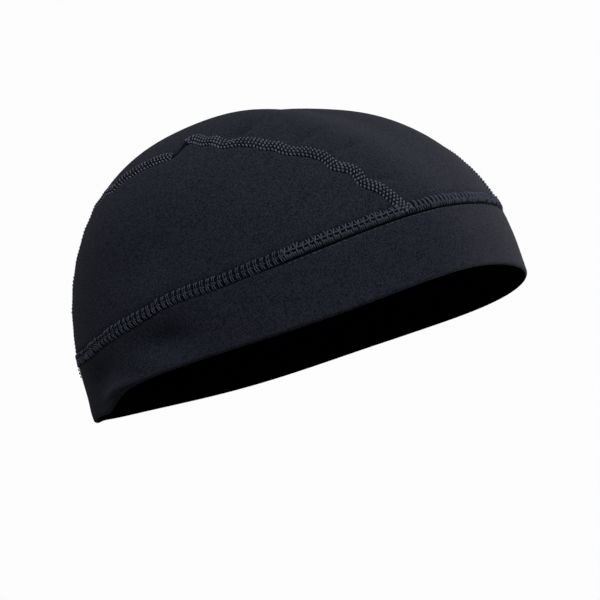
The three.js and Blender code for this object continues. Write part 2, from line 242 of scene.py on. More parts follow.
@dataclass(frozen=True)
class CapForm:
    """The smooth form that the cloth follows, with its folds, puckers and waves."""

    front_reach: float
    back_reach: float
    half_width: float
    crown_height: float
    wall_height: float = 11.0
    band_height: float = 25.6
    band_seam_width: float = 5.9
    crown_seam_width: float = 5.2
    pucker_dip: float = 0.4
    pucker_reach: float = 8.5
    wave_fade_height: float = 68.0
    band_seam_arch: float = 0.084
    plan_front: float = 2.4
    plan_back: float = 2.0
    dome_front: float = 1.8
    dome_side: float = 2.65
    dome_back: float = 1.93
    tuck_arc: float = 77.3
    tuck_snap: float = 1.1
    tuck_spread: float = 8.0
    pinch_ahead: float = 1.0
    pinch_behind: float = 3.4
    slope_step: float = 0.002
    search_arc: float = 60.0
    search_halvings: int = 40
    rim_waves: tuple[Wave, ...] = (Wave(1, -0.152), Wave(2, 0.047), Wave(3, 0.045), Wave(4, 0.039))
    rim_sags: tuple[Sag, ...] = (
        Sag(-160, 33, 0.11),
        Sag(-126, 12, 0.16),
        Sag(-148, 9, 0.075),
        Sag(-25, 28, -0.034),
    )
    seam_sags: tuple[Sag, ...] = (
        Sag(-142, 13, 0.09),
        Sag(-120, 22, 0.1),
        Sag(-86, 8, -0.055),
        Sag(86, 8, -0.055),
        Sag(120, 22, 0.1),
        Sag(142, 13, 0.09),
    )
    seam_path: tuple[Station, ...] = (
        Station(0, 15.5),
        Station(15, 20.5),
        Station(30, 25.1),
        Station(45, 30.2),
        Station(60, 33),
        Station(75, 33.5),
        Station(90, 35.9),
        Station(105, 35.0),
        Station(116, 30.0),
        Station(124, 27.9),
        Station(150, 28.6),
        Station(180, 25.0),
    )
    puckers: tuple[Pucker, ...] = (
        Pucker(21.5, 2.2, 1.8),
        Pucker(29.5, 2.4, 1.7),
        Pucker(42, 3.2, 1.2),
        Pucker(48.5, 2.2, 0.7),
        Pucker(61.5, 3.0, 1.1),
        Pucker(70, 2.6, 0.9),
        *(Pucker(106 + 8.5 * k, 2.8, 1.1) for k in range(9)),
    )
    folds: tuple[Fold, ...] = (
        Fold("crown tuck", -76.5, 0.845, 6.6, 2.4, 16, -0.8),
        Fold("dent beside the crown seam", -54, 0.84, 6.5, 2.9, 38, -4.4),
        Fold("crease ahead of it", -37, 0.712, 8.5, 2.2, 27, -1.9),
        Fold("crease over the forehead", -28.5, 0.615, 8, 1.8, 13, -1.4),
        Fold("short crease by the seam's end", -26, 0.437, 4, 1.6, -12, -0.9),
        Fold("broad hollow of the right side", -92, 0.46, 26, 12, 2, -2.1),
        Fold("hollow over the right ear", -92, 0.113, 15.5, 7, -8, -3.6),
        Fold("hollow behind the right ear", -122, 0.122, 13, 6, -6, -2.8),
        Fold("roll along the rim behind it", -114, 0.03, 14.5, 2.6, -9, 2.0),
        Fold("rim tucked in at the back", -128, 0, 15, 9, 0, -1.28),
        Fold("round corner of the rim", -149, 0.03, 9, 6, 0, 0.9),
        Fold("flat place over the left temple", 33, 0.915, 20, 13, 90, -0.8),
    )

    def plan_power(self, bearing: Points) -> Points:
        """The squareness of the outline seen from above, at a bearing in radians."""
        middle = (self.plan_front + self.plan_back) / 2
        return middle + (self.plan_front - self.plan_back) / 2 * np.cos(bearing)

    def dome_power(self, bearing: Points) -> Points:
        """The squareness of the upright outline, at a bearing in radians."""
        ahead = np.cos(bearing) ** 2
        end = np.where(np.cos(bearing) >= 0, self.dome_front, self.dome_back)
        return end * ahead + self.dome_side * (1 - ahead)

    def reach(self, x: Points) -> Points:
        """How far the form reaches from its middle, ahead or behind."""
        return np.where(x >= 0, self.front_reach, self.back_reach)

    def bearing(self, directions: Points) -> Points:
        """The bearing of each direction, in radians."""
        x, y = directions[..., 0], directions[..., 1]
        return np.arctan2(y / self.half_width, x / self.reach(x))

    def on_form(self, directions: Points) -> Points:
        """The place on the smooth form in each direction.

        Args:
            directions: Directions from the middle of the form.

        Returns:
            The places, in millimetres from the middle of the form.
        """
        bearing = self.bearing(directions)
        plan, dome = self.plan_power(bearing), self.dome_power(bearing)
        ahead = np.abs(directions[..., 0] / self.reach(directions[..., 0]))
        aside = np.abs(directions[..., 1] / self.half_width)
        across = (ahead**plan + aside**plan) ** (1 / plan)
        upward = np.maximum(directions[..., 2], 0) / (self.crown_height - self.wall_height)
        return directions * ((across**dome + upward**dome) ** (-1 / dome))[..., None]

    def towards(self, bearing: Points, height: Points) -> Points:
        """The direction of the place at each bearing and height.

        Args:
            bearing: The bearing in radians.
            height: The height above the rim.

        Returns:
            The directions from the middle of the form.
        """
        plan, dome = self.plan_power(bearing), self.dome_power(bearing)
        ahead, aside = np.cos(bearing), np.sin(bearing)
        spread = (np.abs(ahead) ** plan + np.abs(aside) ** plan) ** (-1 / plan)
        climb = np.maximum(0, (height - self.wall_height) / (self.crown_height - self.wall_height))
        draw = (1 - climb**dome) ** (1 / dome)
        x = self.reach(ahead) * ahead * spread * draw
        y = self.half_width * aside * spread * draw
        return np.stack([x, y, height - self.wall_height + 0 * x], axis=-1)

    def normals(self, directions: Points) -> Points:
        """The outward normal of the smooth form in each direction.

        Args:
            directions: Directions from the middle of the form.

        Returns:
            The normals, of length 1.
        """
        outward = unit(directions)
        near_top = (outward[..., 2:3] > np.abs(outward[..., 0:1])).astype(float)
        helper = np.concatenate([near_top, 0 * near_top, 1 - near_top], axis=-1)
        aside = unit(np.cross(helper, outward))
        along = np.cross(outward, aside)
        step = self.slope_step
        by_side = self.on_form(outward + step * aside) - self.on_form(outward - step * aside)
        by_along = self.on_form(outward + step * along) - self.on_form(outward - step * along)
        return unit(np.cross(by_side, by_along))

    def band_seam_bottom(self, bearing: Points) -> Points:
        """The height of the lower edge of the band's seam, at a bearing in radians."""
        arch = self.band_seam_arch * np.cos(2 * bearing)
        return self.band_height * (1 + arch - self.sagged(self.seam_sags, bearing))

    @staticmethod
    def sagged(sags: tuple[Sag, ...], bearing: Points) -> Points:
        """The total drop of some sags at a bearing.

        Args:
            sags: The sags.
            bearing: The bearing in radians.

        Returns:
            The drop, as a share of the band's height.
        """
        total = np.zeros_like(bearing)
        for sag in sags:
            turn = np.degrees(bearing) - sag.bearing
            offset = turn - FULL_TURN * np.round(turn / FULL_TURN)
            total = total + sag.drop * np.exp(-((offset / sag.spread) ** 2))
        return total

    def above_band_seam(self, directions: Points) -> Points:
        """How far each place lies above the top edge of the band's seam."""
        height = self.on_form(directions)[..., 2] + self.wall_height
        return height - self.band_seam_bottom(self.bearing(directions)) - self.band_seam_width

    def rim_lift(self, bearing: Points) -> Points:
        """How far the rim is lifted at a bearing, by its waves and its sags.

        Args:
            bearing: The bearing in radians.

        Returns:
            The lift, in millimetres.
        """
        total = np.zeros_like(bearing)
        for wave in self.rim_waves:
            total = total + wave.rise * np.cos(wave.turns * bearing)
        return self.band_height * (total - self.sagged(self.rim_sags, bearing))

    def sway(self, side: SeamSide, arc: Points) -> Points:
        """How far puckers draw a crown seam towards the ear.

        Args:
            side: Which crown seam.
            arc: The arc in degrees.

        Returns:
            The sway, in millimetres.
        """
        total = np.zeros_like(arc)
        for pucker in self.puckers:
            offset = arc - side.pucker_shift - pucker.arc
            total = total + pucker.sway * np.exp(-((offset / pucker.spread) ** 2))
        return total * side.pucker_share

    def seam_lean(self, side: SeamSide, arc: Points) -> Points:
        """The lean of a crown seam's middle line at an arc.

        Args:
            side: Which crown seam.
            arc: The arc in degrees.

        Returns:
            The lean, in degrees.
        """
        offset = arc - self.tuck_arc
        settle = np.exp(-((offset / self.tuck_spread) ** 2))
        jog = side.tuck_jog / 2 * np.tanh(offset / self.tuck_snap) * settle
        return smooth_at(self.seam_path, arc) + jog + np.degrees(self.sway(side, arc) / self.half_width)

    def seam_width(self, side: SeamSide, arc: Points) -> Points:
        """The width of a crown seam at an arc, narrower where it is pinched.

        Args:
            side: Which crown seam.
            arc: The arc in degrees.

        Returns:
            The width, in millimetres.
        """
        spread = np.where(arc < self.tuck_arc, self.pinch_ahead, self.pinch_behind)
        pinch = side.tuck_pinch * np.exp(-(((arc - self.tuck_arc) / spread) ** 2))
        return self.crown_seam_width * (1 - pinch)

    def seam_middle(self, side: SeamSide, arc: Points) -> Points:
        """The place on the form of a crown seam's middle line at each arc.

        Args:
            side: Which crown seam.
            arc: The arc in degrees.

        Returns:
            The places, in millimetres from the middle of the form.
        """
        lean, over = np.radians(self.seam_lean(side, arc)), np.radians(arc)
        flat = np.cos(lean)
        directions = np.stack([flat * np.cos(over), side.sign * np.sin(lean), flat * np.sin(over)], axis=-1)
        return self.on_form(directions)

    def beside_seam(self, side: SeamSide, arc: Points, across: Points, clearance: float = 0.0) -> Points:
        """The direction of a place beside a crown seam's middle line.

        Args:
            side: Which crown seam.
            arc: The arc in degrees.
            across: A share of the seam's width, towards the ear.
            clearance: A length further out on the same side.

        Returns:
            The directions.
        """
        here = self.seam_middle(side, arc)
        along = self.seam_middle(side, arc + 1) - self.seam_middle(side, arc - 1)
        to_ear = unit(np.cross(self.normals(here), along)) * -side.sign
        return here + to_ear * (across * self.seam_width(side, arc) + clearance)[..., None]

    def arc_at_band(
        self, side: SeamSide, across: float, clearance: float, tuck_in: float, ahead: bool
    ) -> float:
        """The arc where a line beside a crown seam runs in under the top edge of the band's seam.

        Args:
            side: Which crown seam.
            across: A share of the seam's width, towards the ear.
            clearance: A length further out on the same side.
            tuck_in: How far below that edge it ends.
            ahead: True for the end at the front.

        Returns:
            The arc in degrees.
        """
        low, high = (0.0, self.search_arc) if ahead else (HALF_TURN, HALF_TURN - self.search_arc)
        for _ in range(self.search_halvings):
            middle = (low + high) / 2
            place = self.beside_seam(side, np.array([middle]), np.array([across]), clearance)
            if self.above_band_seam(place)[0] > -tuck_in:
                high = middle
            else:
                low = middle
        return high

    def seam_line(self, side: SeamSide, across: float, clearance: float = 0.0) -> Line:
        """The line beside a crown seam, from the band in front over to the band behind.

        Args:
            side: Which crown seam.
            across: A share of the seam's width, towards the ear.
            clearance: A length further out on the same side.

        Returns:
            The line, as directions at shares of the way along.
        """
        start = self.arc_at_band(side, across, clearance, TUCKED_IN, ahead=True)
        end = self.arc_at_band(side, across, clearance, TUCKED_IN, ahead=False)

        def line(share: Points) -> Points:
            """Directions at shares of the way along."""
            return self.beside_seam(side, start + (end - start) * share, across + 0 * share, clearance)

        return line

    def band_line(self, start: float, end: float) -> Line:
        """The line just under the top edge of the band's seam.

        Args:
            start: The bearing in radians where it starts.
            end: The bearing in radians where it ends.

        Returns:
            The line, as directions at shares of the way along.
        """

        def line(share: Points) -> Points:
            """Directions at shares of the way along."""
            bearing = start + (end - start) * share
            return self.towards(bearing, self.band_seam_bottom(bearing) + self.band_seam_width - TUCKED_IN)

        return line

    def end_bearings(self, line: Line) -> tuple[float, float]:
        """The bearings in radians where a line starts and ends."""
        first, last = self.bearing(line(np.array([0.0, 1.0])))
        return float(first), float(last)

    def fold_relief(self, place: Points) -> Points:
        """How far the folds and dents move the cloth out at each place on the form.

        Args:
            place: Places on the smooth form.

        Returns:
            The relief, in millimetres, below 0 in a dent.
        """
        total = np.zeros(place.shape[:-1])
        for fold in self.folds:
            middle = self.towards(np.radians([fold.bearing]), np.array([fold.height * self.crown_height]))
            normal = self.normals(middle)[0]
            level = unit(np.cross([0, 0, 1], normal))
            upward = np.cross(normal, level)
            turn = math.radians(fold.turn)
            lengthwise = level * math.cos(turn) + upward * math.sin(turn)
            crosswise = np.cross(normal, lengthwise)
            away = place - middle[0]
            reach = (away @ lengthwise / fold.along) ** 2 + (away @ crosswise / fold.across) ** 2
            total = total + np.where(place @ middle[0] > 0, fold.depth * np.exp(-reach), 0)
        return total

    def pucker_relief(self, directions: Points, place: Points) -> Points:
        """How far the puckers beside the crown seams move the cloth out.

        Args:
            directions: Directions from the middle of the form.
            place: The places on the smooth form in those directions.

        Returns:
            The relief, in millimetres, below 0 in a dip.
        """
        arc = np.degrees(np.arctan2(directions[..., 2], directions[..., 0]))
        flat = np.hypot(directions[..., 0], directions[..., 2])
        lean = np.degrees(np.arctan2(np.abs(directions[..., 1]), flat))
        emerging = np.clip(self.above_band_seam(directions) / self.band_seam_width, 0, 1)
        total = np.zeros(place.shape[:-1])
        for side in (RIGHT, LEFT):
            distance = np.radians(lean - self.seam_lean(side, arc)) * np.linalg.norm(place, axis=-1)
            near = np.exp(-((distance / self.pucker_reach) ** 2))
            dip = self.pucker_dip * near * emerging * self.sway(side, arc)
            total = total - np.where(directions[..., 1] * side.sign > 0, dip, 0)
        return total

    def cloth_points(self, directions: Points, offset: Points | float) -> Points:
        """Finished places on the cloth.

        Args:
            directions: Directions from the middle of the form.
            offset: How far outside the cloth's outer face.

        Returns:
            Places in the cap's own frame, in millimetres.
        """
        place = self.on_form(directions)
        relief = self.fold_relief(place) + self.pucker_relief(directions, place) + offset
        points = place + self.normals(directions) * relief[..., None]
        points[..., 2] += self.wall_height
        fade = np.clip(1 - points[..., 2] / self.wave_fade_height, 0, 1) ** 2
        points[..., 2] += self.rim_lift(self.bearing(directions)) * fade
        return points


@dataclass(frozen=True)
class Finish:
    """A matt textile finish: two close tones, and a low relief of the same pattern.

    The pattern is a fine noise, as of filaments too thin to be seen one by one.
    """

    name: str
    colour: str
    light_colour: str
    noise_mm: float
    bump_mm: float
    roughness: float
    specular: float
    detail: float = 3.0
    noise_low: float = 0.35
    noise_high: float = 0.65
    sheen: float = 0.0

    def pattern(self, tree: bpy.types.NodeTree, place: Socket) -> tuple[Socket, Socket]:
        """Add the nodes of the pattern.

        Args:
            tree: The material's node tree.
            place: The Object coordinates.

        Returns:
            The share of the light colour, and the height of the relief.
        """
        noise = add_node(
            tree,
            "ShaderNodeTexNoise",
            {"Vector": place, "Scale": 1 / (self.noise_mm * MM), "Detail": self.detail},
        )
        share = add_node(
            tree,
            "ShaderNodeMapRange",
            {"Value": noise.outputs["Fac"], "From Min": self.noise_low, "From Max": self.noise_high},
        )
        return share.outputs["Result"], noise.outputs["Fac"]

    def marked(self, tree: bpy.types.NodeTree, place: Socket, tone: Socket) -> Socket:
        """Add the nodes of whatever else marks the tone: nothing, for a plain finish.

        Args:
            tree: The material's node tree.
            place: The Object coordinates.
            tone: The colour that the pattern gives.

        Returns:
            The finished colour.
        """
        return tone

    def material(self) -> bpy.types.Material:
        """The finished material."""
        made = bpy.data.materials.new(self.name)
        made.use_nodes = True
        tree = made.node_tree
        tree.nodes.clear()
        place = add_node(tree, "ShaderNodeTexCoord").outputs["Object"]
        share, height = self.pattern(tree, place)
        tint = add_node(
            tree,
            "ShaderNodeMix",
            {0: share, 6: linear(self.colour), 7: linear(self.light_colour)},
            data_type="RGBA",
        )
        bump = add_node(
            tree, "ShaderNodeBump", {"Height": height, "Distance": self.bump_mm * MM, "Strength": 1.0}
        )
        shader = add_node(
            tree,
            "ShaderNodeBsdfPrincipled",
            {
                "Base Color": self.marked(tree, place, tint.outputs[2]),
                "Roughness": self.roughness,
                "Specular IOR Level": self.specular,
                "Sheen Weight": self.sheen,
                "Normal": bump.outputs["Normal"],
            },
        )
        add_node(tree, "ShaderNodeOutputMaterial", {"Surface": shader.outputs["BSDF"]})
        return made


@dataclass(frozen=True)
class JerseyFinish(Finish):
    """Brushed stretch jersey, knitted from fine polyester and elastane and dyed black.

    The eye sees a matt, slightly blue black with a fine even grain, and a soft sheen where the
    surface turns away. Each loop catches the light a little differently, so the grain gives every
    loop a tone of its own. A real stitch is 0.35 mm wide, and is drawn at 0.42 mm, because a finer
    grain is lost in a pixel. The noise is the faint cloudiness that brushing leaves.
    """

    name: str = "brushed_stretch_jersey"
    colour: str = "#08090e"
    light_colour: str = "#2d303d"
    noise_mm: float = 14.0
    bump_mm: float = 0.1
    roughness: float = 0.9
    specular: float = 0.1
    detail: float = 2.0
    noise_low: float = 0.3
    noise_high: float = 0.7
    sheen: float = 0.02
    loop_mm: float = 0.42
    own_tone: float = 0.35
    tone_low: float = 0.22
    tone_high: float = 0.72
    cloudiness: float = 0.03

    def pattern(self, tree: bpy.types.NodeTree, place: Socket) -> tuple[Socket, Socket]:
        """Add the nodes of the loops.

        Args:
            tree: The material's node tree.
            place: The Object coordinates.

        Returns:
            The share of the light colour, and the height of the relief.
        """
        loops = add_node(tree, "ShaderNodeTexVoronoi", {"Vector": place, "Scale": 1 / (self.loop_mm * MM)})
        height = add_node(
            tree, "ShaderNodeMath", {0: 1.0, 1: loops.outputs["Distance"]}, operation="SUBTRACT"
        )
        tones = add_node(tree, "ShaderNodeSeparateColor", {"Color": loops.outputs["Color"]})
        mixed = add_node(
            tree, "ShaderNodeMix", {0: self.own_tone, 2: height.outputs["Value"], 3: tones.outputs["Red"]}
        )
        share = add_node(
            tree,
            "ShaderNodeMapRange",
            {"Value": mixed.outputs["Result"], "From Min": self.tone_low, "From Max": self.tone_high},
        )
        return share.outputs["Result"], height.outputs["Value"]

    def marked(self, tree: bpy.types.NodeTree, place: Socket, tone: Socket) -> Socket:
        """Add the nodes of the cloudiness.

        Args:
            tree: The material's node tree.
            place: The Object coordinates.
            tone: The colour that the pattern gives.

        Returns:
            The finished colour.
        """
        noise = add_node(
            tree,
            "ShaderNodeTexNoise",
            {"Vector": place, "Scale": 1 / (self.noise_mm * MM), "Detail": self.detail},
        )
        cloud = add_node(
            tree,
            "ShaderNodeMapRange",
            {
                "Value": noise.outputs["Fac"],
                "From Min": self.noise_low,
                "From Max": self.noise_high,
                "To Min": 1 - self.cloudiness,
                "To Max": 1 + self.cloudiness,
            },
        )
        shade = add_node(
            tree, "ShaderNodeVectorMath", {0: tone, 3: cloud.outputs["Result"]}, operation="SCALE"
        )
        return shade.outputs["Vector"]


@dataclass(frozen=True)
class BedFinish(Finish):
    """The same jersey, pressed flat under a seam's stitches and pierced by the needles.

    The eye sees it only between the threads: duller than the open cloth, and darker, partly as
    pressed cloth and partly as painted shade between the threads. Where a needle went through it is
    painted black as the shade inside the hole, and along the lower edge of the band's seam in front
    as a painted shadow line. The mesh marks both with an attribute.
    """

    name: str = "jersey_pressed_under_stitches_with_painted_shade"
    colour: str = "#0c0e13"
    light_colour: str = "#1e212a"
    noise_mm: float = 0.6
    bump_mm: float = 0.08
    roughness: float = 0.95
    specular: float = 0.03
    detail: float = 2.0
    # Black painted where the shade of a needle hole or of the seam's lower edge falls.
    painted_shade_colour: str = "#010101"

    def marked(self, tree: bpy.types.NodeTree, place: Socket, tone: Socket) -> Socket:
        """Add the nodes of the painted shade: black in the needle holes and along the band seam's lower
        edge.

        Args:
            tree: The material's node tree.
            place: The Object coordinates.
            tone: The colour that the pattern gives.

        Returns:
            The finished colour.
        """
        hole = add_node(tree, "ShaderNodeAttribute", attribute_name=HOLE_AND_EDGE_PAINTED_SHADE)
        shade_painted = add_node(
            tree,
            "ShaderNodeMix",
            {0: hole.outputs["Fac"], 6: tone, 7: linear(self.painted_shade_colour)},
            data_type="RGBA",
        )
        return shade_painted.outputs[2]


# The back of the jersey, smooth and unbrushed. Its colour is painted near black, far darker than
# the jersey, as painted shade for the inside of the cap.
INNER_FACE = Finish("jersey_inner_face_painted_shade", "#020203", "#040406", 0.8, 0.05, 1.0, 0.0)

# Textured polyester thread, whose crimped filaments scatter the light: the eye sees matt grey
# loops, lighter than the cloth. The noise is the 0.35 mm crimp. Every thread is drawn about twice
# as thick as a real one, because a thinner one is lost in a pixel.
SEAM_THREAD = Finish("textured_polyester_thread", "#363945", "#565a67", 0.35, 0.05, 0.75, 0.05)

# The same yarn bulked up in the crown seams' knots, which holds more air and looks lighter.
KNOT_THREAD = Finish("bulked_polyester_thread", "#444651", "#6f727f", 0.35, 0.05, 0.75, 0.05)

# The same yarn inside the cap, painted nearly as dark as the jersey's inner face, as painted shade.
INNER_THREAD = Finish("textured_polyester_thread_inside_painted_shade", "#030304", "#060608", 0.35, 0.05, 0.9, 0.0)


@dataclass(frozen=True)
class Finishes:
    """Every material of the cap, made once."""

    cloth: bpy.types.Material
    # The inside and inner_thread finishes are painted near black, as painted shade inside the cap.
    inside: bpy.types.Material
    bed: bpy.types.Material
    thread: bpy.types.Material
    knot_thread: bpy.types.Material
    inner_thread: bpy.types.Material

    @classmethod
    def make(cls) -> Finishes:
        """Make the cap's materials."""
        return cls(
            cloth=JerseyFinish().material(),
            inside=INNER_FACE.material(),
            bed=BedFinish().material(),
            thread=SEAM_THREAD.material(),
            knot_thread=KNOT_THREAD.material(),
            inner_thread=INNER_THREAD.material(),
        )


def piece_from(name: str, data: bpy.types.ID) -> bpy.types.Object:
    """A new object in the scene that holds a mesh, a camera or a light."""
    made = bpy.data.objects.new(name, data)
    bpy.context.scene.collection.objects.link(made)
    return made


@dataclass(frozen=True)
class Shell:
    """A closed shell of cloth from closed sections, one after another along it.

    Each section goes along its outer face and back along its inner face, so point k of the outer
    face lies over point k from the end of the inner one.
    """

    sections: Points
    ring: bool
    inner_from: int
    # The painted shade of needle holes and seam edges at each point, if any.
    holes: Points | None = None

    def faces(self) -> list[tuple[int, ...]]:
        """The corners of each face, as vertex numbers."""
        rows, columns = self.sections.shape[:2]
        found = []
        for row in range(rows if self.ring else rows - 1):
            here, there = row * columns, (row + 1) % rows * columns
            for k in range(columns):
                after = (k + 1) % columns
                found.append((here + k, here + after, there + after, there + k))
        if not self.ring:
            for start, flip in ((0, True), ((rows - 1) * columns, False)):
                for k in range(columns // 2 - 1):
                    cap = (start + k, start + k + 1, start + columns - 2 - k, start + columns - 1 - k)
                    found.append(cap[::-1] if flip else cap)
        return found

    def mesh(self, name: str, outer: bpy.types.Material, inner: bpy.types.Material) -> bpy.types.Mesh:
        """Make the shell's mesh, with its own finish inside.

        Args:
            name: The mesh's name.
            outer: The finish of the outer face.
            inner: The finish of the inner face, which on the cap is near black painted shade.

        Returns:
            The mesh, in metres, with its faces pointing out.
        """
        rows, columns = self.sections.shape[:2]
        points = self.sections.reshape(-1, 3) * MM
        faces = self.faces()
        if self.faces_in(points, faces):
            faces = [face[::-1] for face in faces]
        made = bpy.data.meshes.new(name)
        made.from_pydata(points.tolist(), [], faces)
        side_faces = (rows if self.ring else rows - 1) * columns
        numbers = np.arange(side_faces) % columns
        finish = np.zeros(len(faces), np.int32)
        finish[:side_faces] = (numbers >= self.inner_from) & (numbers < columns - 1)
        made.materials.append(outer)
        made.materials.append(inner)
        made.polygons.foreach_set("material_index", finish)
        made.polygons.foreach_set("use_smooth", np.ones(len(faces), bool))
        if self.holes is not None:
            marks = made.attributes.new(HOLE_AND_EDGE_PAINTED_SHADE, "FLOAT", "POINT")
            marks.data.foreach_set("value", self.holes.astype(np.float32).ravel())
        made.update()
        return made

    @staticmethod
    def faces_in(points: Points, faces: list[tuple[int, ...]]) -> bool:
        """True if the faces point inwards, because the volume inside them is below 0."""
        quads = np.array(faces)
        a, b, c, d = (points[quads[:, k]] for k in range(4))
        volume = (a * np.cross(b, c)).sum() + (a * np.cross(c, d)).sum()
        return bool(volume < 0)


@dataclass(frozen=True)
class Recess:
    """How cloth dips where it runs in under a seam, with a soft roll beside the dip."""

    depth: float
    reach: float
    roll: float
    roll_at: float = 3.2
    roll_reach: float = 1.8

    def at(self, distance: Points) -> Points:
        """The cloth's offset at each distance from the seam's edge."""
        dip = -self.depth * np.exp(-((np.maximum(distance, 0) / self.reach) ** 2))
        return dip + self.roll * np.exp(-(((distance - self.roll_at) / self.roll_reach) ** 2))


def coons(near: Points, far: Points, front: Points, back: Points, along: Points, across: Points) -> Points:
    """Fill in the directions between four lines that meet at their corners.

    Args:
        near: Directions along the first long line.
        far: Directions along the line across from it.
        front: Directions across, at the start.
        back: Directions across, at the end.
        along: The shares along, one for each direction of near and far.
        across: The shares across, one for each direction of front and back.

    Returns:
        A grid of directions, along by across.
    """
    near, far, front, back = (unit(line) for line in (near, far, front, back))
    u, v = along[:, None, None], across[None, :, None]
    near_corners = near[0] * (1 - u) + near[-1] * u
    far_corners = far[0] * (1 - u) + far[-1] * u
    corners = near_corners * (1 - v) + far_corners * v
    by_long = near[:, None] * (1 - v) + far[:, None] * v
    by_short = front[None] * (1 - u) + back[None] * u
    return by_long + by_short - corners


def straight(start: Points, end: Points) -> Line:
    """The straight line from one direction to another."""
    return lambda share: start + (end - start) * share[:, None]


@dataclass(frozen=True)
class Panel:
    """A panel of single cloth between crown seams and the band's seam."""

    form: CapForm
    name: str
    node: str
    near: Line
    far: Line
    front: Line
    back: Line
    near_recess: Recess
    far_recess: Recess
    flat_mm: tuple[float, float]
    flat_area_mm2: float
    steps_along: int = 240
    steps_across: int = 100
    crowding_along: float = 0.6
    crowding_across: float = 0.85
    thickness: float = 1.2
    under_seam: float = 0.5
    end_recess: Recess = Recess(depth=0.3, reach=0.7, roll=0.1)

    def directions(self) -> Points:
        """The grid of directions over the panel."""
        along = crowded(self.steps_along, self.crowding_along)
        across = crowded(self.steps_across, self.crowding_across)
        return coons(
            self.near(along), self.far(along), self.front(across), self.back(across), along, across
        )

    def edge_offsets(self, points: Points) -> Points:
        """How the cloth dips and rolls beside the seams round the panel.

        Args:
            points: The grid of places on the cloth, along by across.

        Returns:
            An offset for each place, in millimetres.
        """
        steps = np.linalg.norm(np.diff(points, axis=1), axis=-1)
        across = np.concatenate([np.zeros((len(points), 1)), np.cumsum(steps, axis=1)], axis=1)
        from_near = across - self.under_seam
        from_far = across[:, -1:] - across - self.under_seam
        steps = np.linalg.norm(np.diff(points, axis=0), axis=-1)
        along = np.concatenate([np.zeros((1, points.shape[1])), np.cumsum(steps, axis=0)], axis=0)
        ends = np.minimum(along, along[-1:] - along) - TUCKED_IN
        return self.near_recess.at(from_near) + self.far_recess.at(from_far) + self.end_recess.at(ends)

    def build(self, finishes: Finishes) -> bpy.types.Object:
        """Make the panel and dress it.

        Args:
            finishes: The cap's materials.

        Returns:
            The finished piece.
        """
        directions = self.directions()
        offsets = self.edge_offsets(self.form.cloth_points(directions, 0.0))
        outer = self.form.cloth_points(directions, offsets)
        inner = self.form.cloth_points(directions, offsets - self.thickness)
        sections = np.concatenate([outer, inner[:, ::-1]], axis=1)
        shell = Shell(sections, ring=False, inner_from=outer.shape[1])
        made = piece_from(self.name, shell.mesh(self.name, finishes.cloth, finishes.inside))
        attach(made, BODY)
        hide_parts(self.node)
        return made


@dataclass(frozen=True)
class Band:
    """The band: one strip of jersey folded in half lengthwise, with the fold as the rim."""

    form: CapForm
    layer: float = 1.1
    gap: float = 0.2
    steps_round: int = 480
    steps_up: int = 34
    steps_fold: int = 12
    crowding: float = 0.6
    flat_mm: tuple[float, float] = (57.0, 540.0)
    edge: Recess = Recess(depth=0.9, reach=0.5, roll=0.12)
    loose_to: float = 60.0
    loose_fade: float = 2.0
    tight_share: float = 0.15

    def section(self) -> list[tuple[float, float, float]]:
        """The folded section: an offset outwards, a share of the height, and a height to add.

        Returns:
            Rows from the top of the outer face, round the fold to the top of the inner face, and
            back down and up between the two layers.
        """
        half = self.layer + self.gap / 2
        rows = [(0.0, 1 - share, half * share) for share in crowded(self.steps_up, self.crowding)]
        for step in range(1, self.steps_fold):
            turn = math.pi * step / self.steps_fold
            rows.append((-half + half * math.cos(turn), 0.0, half - half * math.sin(turn)))
        rows += [(-2 * half, share, half * (1 - share)) for share in crowded(self.steps_up, self.crowding)]
        small = self.gap / 2
        shares = np.linspace(1, 0, self.steps_up // 2)
        between = [(-half - small, share, half * (1 - share)) for share in shares]
        rows += between + [(-half + small, share, low) for _, share, low in reversed(between)]
        return rows

    def build(self, finishes: Finishes) -> bpy.types.Object:
        """Make the band and dress it.

        Args:
            finishes: The cap's materials.

        Returns:
            The finished piece.
        """
        bearing = np.linspace(0, 2 * np.pi, self.steps_round, endpoint=False)[:, None]
        offset, share, low = (np.array(column)[None] for column in zip(*self.section()))
        top = self.form.band_seam_bottom(bearing) + TUCKED_IN
        height = share * (top - low) + low
        off_front = np.abs(np.degrees(bearing + np.pi) % FULL_TURN - HALF_TURN)
        in_front = 1 / (1 + np.exp((off_front - self.loose_to) / self.loose_fade))
        loose = self.tight_share + (1 - self.tight_share) * in_front
        dip = self.edge.at(top - TUCKED_IN - height) * np.where(share > 0, loose, 0)
        directions = self.form.towards(bearing + 0 * height, height)
        sections = self.form.cloth_points(directions, offset + dip)
        # From halfway round the fold on, the band takes the inner face's finish, so the inner half of the
        # rim fold is painted near black as shade.
        shell = Shell(sections, ring=True, inner_from=self.steps_up + self.steps_fold // 2)
        made = piece_from("band_cloth", shell.mesh("band_cloth", finishes.cloth, finishes.inside))
        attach(made, BODY)
        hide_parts("band")
        return made


class Strand(NamedTuple):
    """One thread of a stitch, as shares of the stitch's length, width and height."""

    start: Vector3
    start_handle: Vector3
    end_handle: Vector3
    end: Vector3


